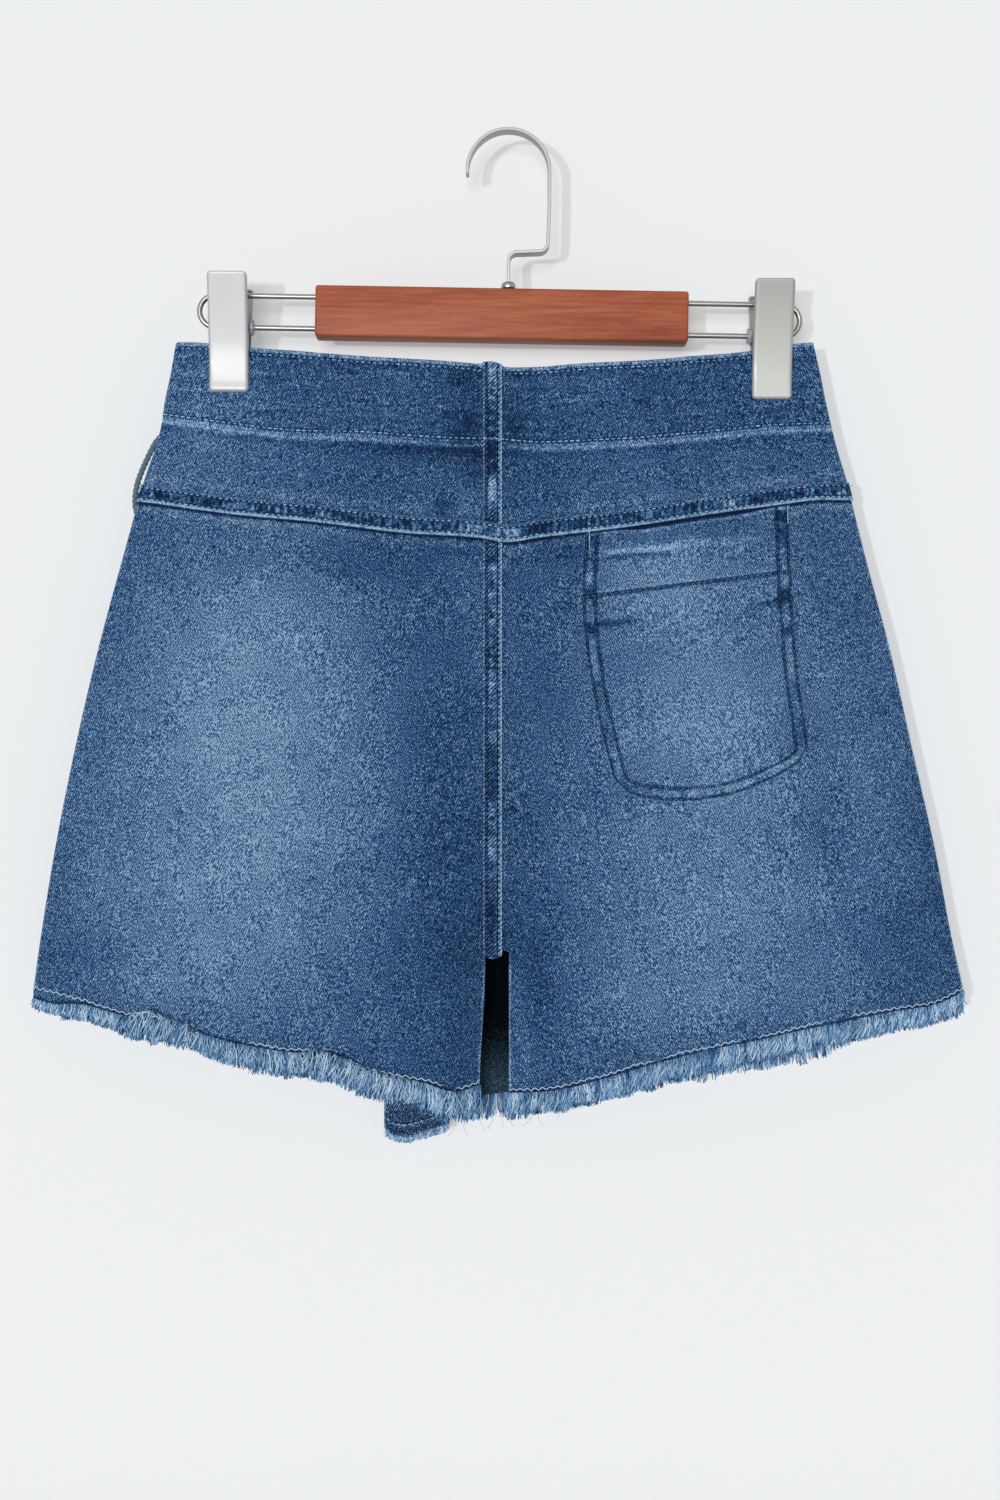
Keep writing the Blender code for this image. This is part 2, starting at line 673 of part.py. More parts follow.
def make_fringes(stuff):
    """The frayed edge under each raw hem, as a plain wall of its reach."""
    hems = {
        "back_left": (left_side, left_inner, HEM_LEFT, 0, FRINGE_LEFT, FROM_SIDE),
        "back_right": (right_inner, right_side, HEM_RIGHT, 0, FRINGE_RIGHT, TO_SIDE),
        "front_left": (left_side, left_inner, HEM_LEFT, FRONT_DROP, FRINGE_LEFT, FROM_SIDE),
        "front_right": (right_inner, right_side, HEM_RIGHT, FRONT_DROP, FRINGE_RIGHT, TO_SIDE),
        "flap": (
            level(FLAP_FRINGE_START), shifted(right_side, -FLAP_INSET), FLAP_HEM, 0, FRINGE_FLAP,
            TO_SIDE,
        ),
    }
    faces = {
        "back": (moved(back_outside, -0.6), back_inside),
        "front": (front_inside, moved(front_outside, 0.6)),
        "flap": (moved(flap_inside, -0.3), moved(flap_outside, 0.5)),
    }
    for name, (left, right, hem, drop, reach, across) in hems.items():
        top = hem_edge(hem, drop + 3 * SEAM_GAP)
        bottom = lambda x, rows=reach, edge=top: edge(x) - smooth(rows, "reach", x, "x")
        near, far = faces[name.split("_")[0]]
        fringe = spread(left, right, top, bottom, across, (0, 0.5, 1))
        wall(f"fringe_{name}", stuff["fray"], fringe, near, far)


def make_lacing(stuff):
    """The lace with its two eyelets on the flap and its two carriers at the hip."""
    tube("lace", stuff["lace"], smooth_route(LACE_ROUTE, 2.2 * LACE), LACE, 2)
    ring = (
        (EYELET_BORE, 0.0), (EYELET_RIM, 0.0), (EYELET_RIM, 0.6),
        (0.5 * (EYELET_BORE + EYELET_RIM), 1.3), (EYELET_BORE, 0.8),
    )
    for name, (x, z) in EYELET.items():
        y = float(flap_outside(np.array(x), np.array(z))) + OVERLAY_GAP
        place = Matrix.Translation((x, y, z)) @ Matrix.Rotation(-0.5 * math.pi, 4, "X")
        turned(f"eyelet_{name}", stuff["nickel"], ring, 16, place)
    half, foot, crown = 0.5 * CARRIER_HEIGHT, CARRIER_FOOT, CARRIER_CROWN
    rise = LACE + 2 * OVERLAY_GAP + FELL_CLOTH
    for name, (x, z) in CARRIER.items():
        stops = ((half, 0), (half - foot, 0), (crown, rise), (-crown, rise), (foot - half, 0), (-half, 0))
        path = []
        for up, out in stops:
            face = float(front_outside(np.array(x), np.array(z + up * (out == 0))))
            path.append((face + OVERLAY_GAP + 0.5 * FELL_CLOTH + out, z + up))
        loop = ribbon(f"carrier_{name}", stuff["denim_seam"], path, FELL_CLOTH, CARRIER_WIDTH, "x")
        loop.location.x = x * MM


def smooth_route(points, spacing):
    """Points on a smooth curve through a hand-chosen route, closer together at its two ends."""
    route = np.array(points, float)
    lengths = np.concatenate([[0], np.cumsum(np.linalg.norm(np.diff(route, axis=0), axis=1))])
    stops = table("s x y z", *[(s, *p) for s, p in zip(lengths, route)])
    end = lengths[-1]
    even = np.linspace(spacing, end - spacing, int(end / spacing) - 1)
    at = [0, 0.4 * spacing, 0.7 * spacing, *even, end - 0.7 * spacing, end - 0.4 * spacing, end]
    return list(zip(*[smooth(stops, name, at, "s") for name in "xyz"]))


def hook_path():
    """The hook's middle line (x, z): arc, leg, offset and stem."""
    radius = HOOK_RADIUS + 0.5 * HOOK_SHEET
    centre = Vector((0, -HOOK_RADIUS))
    path = []
    for angle in np.linspace(HOOK_TIP, 0, 25):
        path.append(centre + radius * Vector((math.cos(angle), math.sin(angle))))
    corner = HOOK_BEND
    path.append(Vector((radius, HOOK_LEG)))
    for angle in np.linspace(0, -0.5 * math.pi, 5):
        turn = Vector((math.cos(angle), math.sin(angle)))
        path.append(Vector((HOOK_LEG_FOOT - corner, HOOK_OFFSET["leg"] + corner)) + corner * turn)
    for angle in np.linspace(0.5 * math.pi, math.pi, 5):
        turn = Vector((math.cos(angle), math.sin(angle)))
        path.append(Vector((corner, HOOK_OFFSET["stem"] - corner)) + corner * turn)
    path.append(Vector((0, bar_top(0.0) + SEAM_GAP)))
    return path


def bar_place():
    """The tilted bar's place: a matrix from its own frame to the hanger's."""
    centre = Matrix.Translation((BAR_CENTRE[0], 0, BAR_CENTRE[1]))
    return centre @ Matrix.Rotation(BAR_TILT, 4, "Y")


def bar_top(x):
    return BAR_CENTRE[1] + 0.5 * BAR_HEIGHT - (x - BAR_CENTRE[0]) * math.tan(BAR_TILT)


def make_bar(stuff):
    """The wooden bar with a blind socket for each end of the two wire loops."""
    bar = block("hanger_bar", stuff["wood"], (BAR_LENGTH, BAR_DEPTH, BAR_HEIGHT), bar_place())
    rounded(bar, 1.6, 2)
    for end in (-1, 1):
        for row in (-1, 1):
            middle = end * (0.5 * BAR_LENGTH - 0.5 * WIRE_SOCKET + 1)
            place = bar_place() @ Matrix.Translation((middle, 0, 0.5 * row * WIRE_SPACING))
            place = place @ Matrix.Rotation(0.5 * math.pi, 4, "Y")
            radius = 0.5 * WIRE + BORE_PLAY
            hole = rod(f"socket_{end}_{row}", stuff["wood"], radius, WIRE_SOCKET + 2, place)
            join_or_cut(bar, hole, "DIFFERENCE")


def make_wires(stuff):
    """A wire loop at each end of the bar, which a clip slides on."""
    turn_radius = 0.5 * WIRE_SPACING
    for side, sign in (("left", -1), ("right", 1)):
        tip = sign * (WIRE_END[side] - BAR_CENTRE[0]) / math.cos(BAR_TILT)
        start = 0.5 * BAR_LENGTH - WIRE_SOCKET + 1.0
        path = [(sign * start, 0, turn_radius)]
        for angle in np.linspace(0.5 * math.pi, -0.5 * math.pi, 13):
            reach = tip - turn_radius + turn_radius * math.cos(angle)
            path.append((sign * reach, 0, turn_radius * math.sin(angle)))
        path.append((sign * start, 0, -turn_radius))
        place = bar_place()
        points = [place @ Vector(p) for p in path]
        tube(f"hanger_wire_{side}", stuff["nickel"], points, WIRE, 2)


def make_collar(stuff):
    """The collar that the hook's stem passes through on top of the bar."""
    height = COLLAR[2]
    z = bar_top(0.0) + COLLAR_STAND + 0.5 * height
    collar = block("hanger_collar", stuff["nickel"], COLLAR, Matrix.Translation((0, 0, z)))
    rounded(collar, 1.0, 2)
    slot = block(
        "stem_slot", stuff["nickel"],
        (HOOK_SHEET + 2 * SEAM_GAP, HOOK_WIDTH + 2 * SEAM_GAP, 3 * height),
        Matrix.Translation((0, 0, z)),
    )
    join_or_cut(collar, slot, "DIFFERENCE")


def clip_plate_path(face, drop):
    """A clip plate's middle line (y, z from the clip's top), leaning in to an upright jaw."""
    jaw = face * (JAW_INSIDE + 0.5 * CLIP_SHEET)
    return [(face * CLIP_SPREAD, -drop), (jaw, CLIP_JAW - CLIP_HEIGHT), (jaw, -CLIP_HEIGHT)]


def make_clips(stuff):
    """Two clips: a plate in front and behind, with ears on a bushing on the lower wire."""
    for side, centre in CLIP_X.items():
        lower = bar_place() @ Vector((0, 0, -0.5 * WIRE_SPACING))
        pivot_z = lower.z - (centre - lower.x) * math.tan(BAR_TILT)
        middle = Vector((centre, 0, CLIP_TOP[side] - 0.5 * CLIP_HEIGHT))
        lean = Matrix.Rotation(CLIP_TILT[side], 4, "Y")
        place = Matrix.Translation(middle) @ lean @ Matrix.Translation((0, 0, 0.5 * CLIP_HEIGHT))
        to_wire = Matrix.Rotation(BAR_TILT + 0.5 * math.pi, 4, "Y")
        along_wire = Matrix.Translation((centre, 0, pivot_z)) @ to_wire
        for name, face, drop in (("back", -1, 0.0), ("front", 1, CLIP_REAR_DROP)):
            path = clip_plate_path(face, drop)
            plate = ribbon(f"clip_{side}_{name}", stuff["nickel"], path, CLIP_SHEET, CLIP_WIDTH, "x")
            plate.matrix_world = in_metres(place)
            for end in (-1, 1):
                ear_x = centre + end * EAR_X[name]
                ear_place = Matrix.Translation((ear_x, face * EAR_REACH, pivot_z))
                ear_size = (EAR_SHEET, 2 * EAR_REACH + 1.8, EAR_HEIGHT)
                ear = block(f"{plate.name}_ear_{end}", stuff["nickel"], ear_size, ear_place)
                join_or_cut(plate, ear, "UNION")
            bore_radius = BUSHING_RADIUS + BORE_PLAY
            bore = rod(f"{plate.name}_bore", stuff["nickel"], bore_radius, CLIP_WIDTH, along_wire)
            join_or_cut(plate, bore, "DIFFERENCE")
        inward = 1 if side == "left" else -1
        bore_radius, tail = 0.5 * WIRE + BORE_PLAY, -BUSHING_TAIL
        shoulder = 0.5 * CLIP_WIDTH + SEAM_GAP
        collar = shoulder + BUSHING_FLANGE
        profile = (
            (bore_radius, tail), (BUSHING_RADIUS, tail), (BUSHING_RADIUS, shoulder),
            (BUSHING_FLANGE_RADIUS, shoulder), (BUSHING_FLANGE_RADIUS, collar), (bore_radius, collar),
        )
        profile = [(radius, inward * along) for radius, along in profile]
        turned(f"clip_{side}_bushing", stuff["bushing"], profile, 16, along_wire)


def in_metres(place):
    """A placing matrix whose move is in millimetres, as an object's matrix in metres."""
    matrix = place.copy()
    matrix.translation = place.translation * MM
    return matrix


def make_hanger(stuff):
    ribbon("hanger_hook", stuff["nickel"], hook_path(), HOOK_SHEET, HOOK_WIDTH, "y")
    make_collar(stuff)
    make_bar(stuff)
    make_wires(stuff)
    make_clips(stuff)


def make_skort(stuff):
    make_back(stuff)
    make_seams(stuff)
    make_pocket(stuff)
    make_front(stuff)
    make_flap(stuff)
    make_fringes(stuff)
    make_lacing(stuff)


def main():
    for old in list(bpy.data.objects):
        bpy.data.objects.remove(old, do_unlink=True)
    stuff = make_materials()
    make_hanger(stuff)
    make_skort(stuff)


main()
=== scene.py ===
"""Denim skort with a wrap flap on its wooden clip hanger: cloth, trim, hanger and studio.

X runs across the skort, Y through it and Z up; the skort's back faces -Y. The tables and edges
are in millimetres and become metres when a mesh is made.
"""
import math
from functools import partial

import bmesh
import bpy
import numpy as np
from mathutils import Matrix, Vector


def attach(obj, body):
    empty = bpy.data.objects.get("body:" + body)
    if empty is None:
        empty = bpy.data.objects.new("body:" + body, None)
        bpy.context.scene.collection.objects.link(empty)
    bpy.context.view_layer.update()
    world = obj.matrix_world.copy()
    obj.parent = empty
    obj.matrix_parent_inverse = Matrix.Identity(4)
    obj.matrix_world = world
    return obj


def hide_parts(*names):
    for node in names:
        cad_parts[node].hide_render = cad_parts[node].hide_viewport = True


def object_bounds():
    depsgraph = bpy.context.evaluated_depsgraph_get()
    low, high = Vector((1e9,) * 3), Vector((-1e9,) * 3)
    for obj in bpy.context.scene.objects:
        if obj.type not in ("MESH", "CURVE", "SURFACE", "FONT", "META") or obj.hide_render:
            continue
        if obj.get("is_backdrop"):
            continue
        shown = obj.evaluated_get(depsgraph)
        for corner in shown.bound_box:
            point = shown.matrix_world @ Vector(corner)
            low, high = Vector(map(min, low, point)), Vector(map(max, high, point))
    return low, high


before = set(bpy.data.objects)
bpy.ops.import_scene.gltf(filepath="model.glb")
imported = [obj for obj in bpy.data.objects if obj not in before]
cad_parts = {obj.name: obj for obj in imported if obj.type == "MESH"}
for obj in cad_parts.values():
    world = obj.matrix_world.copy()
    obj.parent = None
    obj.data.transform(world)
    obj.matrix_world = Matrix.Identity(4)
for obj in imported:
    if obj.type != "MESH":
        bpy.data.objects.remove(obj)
CAD_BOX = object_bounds()
MM = 0.001

# Thicknesses of the cloth, and the gaps between its layers.
CLOTH, BAND_CLOTH, FELL_CLOTH = 1.2, 2.2, 1.0
SEAM_GAP, OVERLAY_GAP = 0.3, 0.6

# The felled seams' width, the edges of the centre-back one, and those of the strip over it.
FELL_WIDTH = 10.0
CENTRE_LEFT, CENTRE_RIGHT = -13.3, -3.3
CENTRE = 0.5 * (CENTRE_LEFT + CENTRE_RIGHT)
STRIP_LEFT, STRIP_RIGHT = -14.4, -3.5

# Where the legs part, and the ends of the gap that widens between them.
CROTCH, LEG_GAP_TOP, LEG_GAP_BOTTOM = -467.0, -470.0, -545.0

# How far in the flat tube of cloth rounds at its sides and legs, and where the legs' part starts.
SIDE_ROUND, INNER_ROUND, LEG_SPLIT = 45.0, 32.0, -405.0

# Each clip's place across, its lean in degrees and its top; how the cloth eases from its nip.
CLIPS = {"left": (-157.8, 0.6, -82.2), "right": (149.0, 0.2, -86.2)}
NIP_HALF, NIP_EASE, NIP_BOTTOM, NIP_END = 13.0, 62.0, -152.0, -240.0

# The hanger's tilted bar, and the wires' thickness and spacing.
BAR_CENTRE, BAR_TILT = (-3.8, -104.15), math.radians(1.0)
BAR_LENGTH, BAR_DEPTH, BAR_HEIGHT = 210.4, 15.5, 28.7
WIRE, WIRE_SPACING = 3.1, 18.0

# The flap: its free edge, the facing's other edge, how far it stands off the front and how far in
# from the side seam it is sewn. The front's legs are cut a little longer than the back's.
FLAP_EDGE, FACING_END, FLAP_STAND, FLAP_INSET = -71.2, -34.2, 2.6, 2.0
FRONT_DROP = 4.0

LACE = 3.6


def numbers(text):
    """Rows of numbers, with commas between the rows."""
    return np.array([row.split() for row in text.split(",")], float)


def table(columns, text):
    """One array for each named column."""
    return dict(zip(columns.split(), numbers(text).T))


# The skort's side edges and half the depth of its hollow, up its height.
LEVELS = table("z left right hollow", """
    -486 -269.2 257.8 9, -462 -265.8 252.2 9.2, -406 -256.8 241.5 9.2, -350 -245.7 228.8 9,
    -294 -232.7 216.2 8.6, -243 -219 202.7 7.8, -209 -209.6 194.2 6.8, -195 -205.6 190.8 6.2,
    -180 -200.3 186.2 5.6, -166 -196.6 182.6 5, -152 -194.4 179.4 4.4, -137 -191.2 176.4 3.8,
    -121 -188.4 172.8 3.2""")

# The seams and cut edges across the skort.
WAIST = table("x z", """
    -188.4 -121.1, -170 -121.1, -146 -122.9, -84 -127.6, -16 -132.4, -3 -134.2, 17 -133.9,
    37 -132.2, 74 -130.2, 119 -126.7, 160 -122.2, 172.8 -121""")
BAND_SEAM = table("x z", """
    -196 -162.8, -158 -167.8, -115 -172.8, -84 -173.6, -43 -176.4, -3 -178, 17 -179.4, 37 -178.8,
    74 -176.8, 108 -173.4, 142 -169.5, 182.5 -167.6""")
YOKE_SEAM = table("x z", """
    -210 -209.4, -158 -217.1, -107 -222.2, -60 -228, -13 -231.4, -3 -233.3, 17 -230.8, 74 -223.8,
    120 -216.6, 153 -212, 176 -209.1, 194 -208.8""")
HEM_LEFT = table("x z", """
    -269.2 -486.6, -239 -493.4, -212 -500.6, -185 -505.1, -164 -512.2, -135 -518.5, -96 -524.8,
    -78 -531.9, -51 -536.4, -27 -542.7, -16 -540""")
HEM_RIGHT = table("x z", """
    0.2 -544.7, 30 -541, 59 -533.5, 81 -527, 114 -518.6, 142 -513, 180 -504.6, 217 -497.2,
    245 -492.5, 257.8 -486.9""")
FLAP_HEM = table("x z", """
    -71.2 -567, -67 -571.6, -60 -573.2, -50 -571, -34 -565, -33 -551.5, -5 -547, 40 -540,
    80 -531.5, 120 -523.5, 160 -517, 200 -504, 257 -488""")

# Length of the frayed edge below each hem.
FRINGE_LEFT = table("x reach", """
    -269 8.5, -220 11, -150 13, -90 14.5, -16 15.5""")
FRINGE_RIGHT = table("x reach", """
    0 13, 60 12.5, 120 12, 200 11.5, 258 9""")
FRINGE_FLAP = table("x reach", """
    -33 11, -5 15, 60 15, 160 15, 257 9""")

# The patch pocket on the wearer's right: its sides and its rounded bottom.
POCKET_SIDES = table("z left right", """
    -365 58 170.2, -345 52.8 168.4, -308 45.1 163.2, -264 40.8 159.8, -235 42.2 158.6,
    -212 44 158.2""")
POCKET_BOTTOM = table("x z", """
    53.5 -352, 58 -364, 64 -371.5, 72 -376.6, 93 -379.2, 120 -376.8, 144 -368.4, 157 -361.5,
    164.5 -355, 168.5 -346""")

# Soft mounds and hollows, each with its centre, half width and half length, how far it stands out
# (below nought: sinks in) and how far its line leans from upright, in degrees: the largest folds
# of the back and of the front.
FOLD = "x z width length lift lean"
BACK_FOLDS = table(FOLD, """
    -214 -420 16 70 -0.9 12, -152 -380 30 105 1.5 -10, -118 -196 46 8 0.7 -82,
    -92 -430 20 90 -1.2 -14, -52 -500 16 40 1 8, -30 -168 12 30 -1 20, 38 -420 16 80 -1.1 6,
    52 -180 40 9 0.8 80, 96 -440 26 80 1.4 12, 186 -400 20 90 -1 -12, 214 -455 18 55 1.1 -16""")
FRONT_FOLDS = table(FOLD, """
    -205 -440 18 60 -1 -12, -150 -400 26 100 1.3 10, -100 -300 22 80 -0.8 14,
    60 -360 30 110 1.2 -8, 140 -420 22 90 -1.1 10, 200 -380 20 90 1 -12""")

# Creases of the back, and its washed-out and darker patches, with the lift after the lean.
MARK = "x z width length lean lift"
CREASES = table(MARK, """
    -220 -440 6 60 12 0.5, -186 -250 5 36 30 0.4, -70 -300 7 60 -16 -0.4, -46 -470 6 50 -8 -0.5,
    -44 -186 4 20 24 0.4, -30 -166 5 26 14 -0.9, -28 -250 3 16 -18 -0.4, -22 -150 3 16 4 0.5,
    30 -240 3 16 20 -0.4, 40 -470 6 50 10 0.5, 58 -279 2 9 80 0.3, 66 -238 2.2 12 84 0.3,
    153 -266 2.2 12 78 0.35, 176 -300 5 40 -24 -0.4, 206 -420 6 60 -14 0.5""")
FADES = table(MARK, """
    -254 -485 26 50 0 -0.04, -222 -430 40 60 0 0.07, -186 -190 24 26 0 0.08,
    -178 -150 34 26 0 0.14, -168 -452 50 46 0 0.11, -160 -490 60 26 0 0.08,
    -146 -352 74 120 6 0.365, -145 -266 40 34 0 0.07, -100 -244 60 14 0 -0.09,
    -60 -212 44 10 0 -0.01, -44 -330 34 110 4 -0.04, -44 -181 36 5 0 -0.26, -36 -214 7 7 0 -0.2,
    -34 -440 30 110 4 -0.15, -30 -236 22 6 0 -0.08, -26 -141 9 6 0 -0.26, -24 -164 9 13 0 -0.24,
    -21 -208 8 10 0 0.13, -19 -188 6 12 0 -0.2, 3 -168 7 14 0 -0.18, 4 -478 26 36 0 -0.05,
    8 -508 5 36 6 0.08, 10 -330 30 120 0 -0.07, 10 -142 12 8 0 -0.05, 17 -478 9 28 6 -0.11,
    29 -238 20 9 0 -0.14, 36 -262 9 22 0 -0.04, 60 -497 40 25 0 0.02, 86 -250 38 22 0 0.14,
    108 -318 84 84 0 0.215, 112 -492 80 24 0 0.12, 112 -440 62 60 0 0.26, 112 -350 40 16 0 0.05,
    126 -148 50 20 0 -0.04, 205 -390 22 80 -10 0.08, 240 -470 26 60 0 -0.03""")
WASH_BASE = 0.365

# The lace: out of the flap's upper eyelet, down across the hip to the lower carrier, round the
# wearer's left side in a slack loop, back through the upper carrier and down over its first run
# to the flap's lower eyelet.
LACE_ROUTE = numbers("""
    -61 12.4 -191, -61.2 14.6 -191.1, -63.2 16.9 -191.8, -67 18.1 -193, -72 17.1 -194.6,
    -79 14 -196.7, -88 11.4 -199.4, -102 10.2 -203.8, -118 9.6 -208.6, -134 9.3 -213,
    -150 9.6 -216.8, -165 10 -219.6, -180 9.7 -221, -193 8.3 -222.4, -202.5 6.4 -222.6,
    -209 4.9 -220.3, -212.2 4.3 -215, -212.6 4.2 -207, -211.2 4.1 -198.4, -208.2 4 -190.4,
    -204.6 4 -182.6, -201.2 4 -175.6, -197.4 4.1 -170.2, -191.6 4.3 -168.8, -185.5 4.5 -171,
    -180 4.7 -174, -168 5.8 -180.2, -155 7.8 -186.6, -142 10.2 -192.6, -130 12.6 -198.2,
    -118 14.1 -203.8, -106 14.4 -209.4, -92 14.8 -216, -80 16.8 -221.6, -72 18.9 -225.2,
    -67 19.5 -227, -63.2 18.3 -228.3, -61.2 16 -228.9, -61 13.8 -229""")


def smooth(at, keys, values):
    """A smooth curve through a table's rows, on which a steep row doesn't overshoot."""
    at = np.clip(at, keys[0], keys[-1])
    row = np.clip(np.searchsorted(keys, at, side="right") - 1, 0, len(keys) - 2)
    step = keys[row + 1] - keys[row]
    t = (at - keys[row]) / step
    rise = np.diff(values) / np.diff(keys)
    gentler = np.minimum(np.abs([*rise[:1], *rise]), np.abs([*rise, *rise[-1:]]))
    slope = np.clip(np.gradient(values, keys), -2 * gentler, 2 * gentler)
    start = (1 + 2 * t) * (1 - t) ** 2 * values[row] + t * (1 - t) ** 2 * step * slope[row]
    end = t * t * (3 - 2 * t) * values[row + 1] + t * t * (t - 1) * step * slope[row + 1]
    return start + end


def curve(rows, name="z", key="x"):
    return lambda at: smooth(at, rows[key], rows[name])


def shifted(line, distance):
    """An edge or a face moved along the axis that it gives."""
    return lambda *at: line(*at) + distance


def level(value):
    """An edge at a fixed place."""
    return lambda at: np.full_like(at, value)


def ramp(at, start, end):
    """From 0 at `start` to 1 at `end`, level at both."""
    t = np.clip((at - start) / (end - start), 0, 1)
    return t * t * (3 - 2 * t)


def ridge(distance, place, width):
    """1 at a place, falling to 0 over `width` on each side."""
    return np.exp(-(((distance - place) / width) ** 2))


def swell(distance, reach):
    """How far the cloth has risen at a distance in from a seam, from 0 to 1."""
    return np.sin(0.5 * math.pi * np.clip(distance / reach, 0, 1))


def uneven(at, pitch, seed):
    """Smooth random waves along a line, from -1 to 1 and about `pitch` apart."""
    values = np.random.default_rng(seed).uniform(-1, 1, 1024)
    place = np.asarray(at, float) / pitch + 512
    cell = np.floor(place).astype(int)
    share = ramp(place - cell, 0, 1)
    return values[cell % 1024] * (1 - share) + values[(cell + 1) % 1024] * share


def mounds(rows, x, z):
    """The sum of a table's mounds at a point."""
    out = 0 * x * z
    for x_middle, z_middle, width, length, lift, lean in zip(*(rows[key] for key in FOLD.split())):
        cos, sin = math.cos(math.radians(lean)), math.sin(math.radians(lean))
        across = (x - x_middle) * cos + (z - z_middle) * sin
        down = (z - z_middle) * cos - (x - x_middle) * sin
        out = out + lift * np.exp(-((across / width) ** 2) - (down / length) ** 2)
    return out


def inner_edge(sign, leg, flare):
    """A half's inner edge: the centre seam, and the inside of the leg below the crotch."""
    def edge(z):
        inside = leg - flare * ramp(z, LEG_GAP_TOP, LEG_GAP_BOTTOM)
        fall = ramp(z, CROTCH + 2, LEG_GAP_TOP)
        return CENTRE + 0.5 * sign * SEAM_GAP + (inside - CENTRE) * fall
    return edge


left_side, right_side = curve(LEVELS, "left", "z"), curve(LEVELS, "right", "z")
waist, band_seam, yoke_seam = curve(WAIST), curve(BAND_SEAM), curve(YOKE_SEAM)
left_inner, right_inner = inner_edge(-1, -13.0, 3.1), inner_edge(1, 0.1, 0.0)


def nip(x, z):
    """1 where a clip nips the waistband flat, easing to 0 around it."""
    aside = 1 + 0 * x * z
    for centre, _, _ in CLIPS.values():
        aside = aside * ramp(np.abs(x - centre), NIP_HALF, NIP_EASE)
    return (1 - aside) * (1 - ramp(z, NIP_BOTTOM, NIP_END))


def hollow(x, z, rows, legs=True):
    """Distance from the middle plane to the inside of the back or front cloth."""
    free = swell(x - left_side(z), SIDE_ROUND) * swell(right_side(z) - x, SIDE_ROUND)
    free = free * (1 - nip(x, z))
    if legs:
        inside = np.where(x < CENTRE, left_inner(z) - x, x - right_inner(z))
        free = free * (1 - ramp(z, LEG_SPLIT, CROTCH) * (1 - swell(inside, INNER_ROUND)))
    depth = smooth(z, LEVELS["z"], LEVELS["hollow"]) + mounds(rows, x, z)
    return 0.5 * SEAM_GAP + free * depth


def back_inside(x, z):
    return -hollow(x, z, BACK_FOLDS)


def back_skin(x, z):
    """The back's outermost face, with the waistband's step eased over."""
    step = ramp(z - band_seam(x), -5.0, -1.2)
    return back_outside(x, z) - (BAND_CLOTH - CLOTH) * step


def front_inside(x, z):
    return hollow(x, z, FRONT_FOLDS)


def flap_inside(x, z):
    """The flap spans both legs, and stands off the front once it is clear of the waistband."""
    stand = OVERLAY_GAP + (FLAP_STAND - OVERLAY_GAP) * ramp(z - band_seam(x), -1.0, -10.0)
    return hollow(x, z, FRONT_FOLDS, legs=False) + CLOTH + stand


back_outside, back_band_outside = shifted(back_inside, -CLOTH), shifted(back_inside, -BAND_CLOTH)
front_outside, front_band_outside = shifted(front_inside, CLOTH), shifted(front_inside, BAND_CLOTH)
flap_outside = shifted(flap_inside, CLOTH)


def back_wash(x, z):
    """How light the back's denim is at a point."""
    soft = 0.03 * uneven(x + 0.4 * z, 17, 3) + 0.03 * uneven(z - 0.3 * x, 23, 4)
    return WASH_BASE + mounds(FADES, x, z) + soft


def rumple(x, z):
    """Faint unevenness of hanging cloth, in millimetres."""
    return (
        0.22 * uneven(x + 0.35 * z, 26, 11) * uneven(z - 0.2 * x, 34, 12)
        + 0.14 * uneven(x - 0.5 * z, 13, 13) * uneven(z + 0.3 * x, 19, 14)
    )


def pucker(distance, along, reach, pitch, seed):
    """Gathers beside a seam: small ridges square to it that fade with distance."""
    wave = uneven(along, pitch, seed) + 0.5 * uneven(along, 0.45 * pitch, seed + 1)
    return wave * ridge(np.maximum(distance, 0), 0, reach)


# ---------------------------------------------------------------- nodes


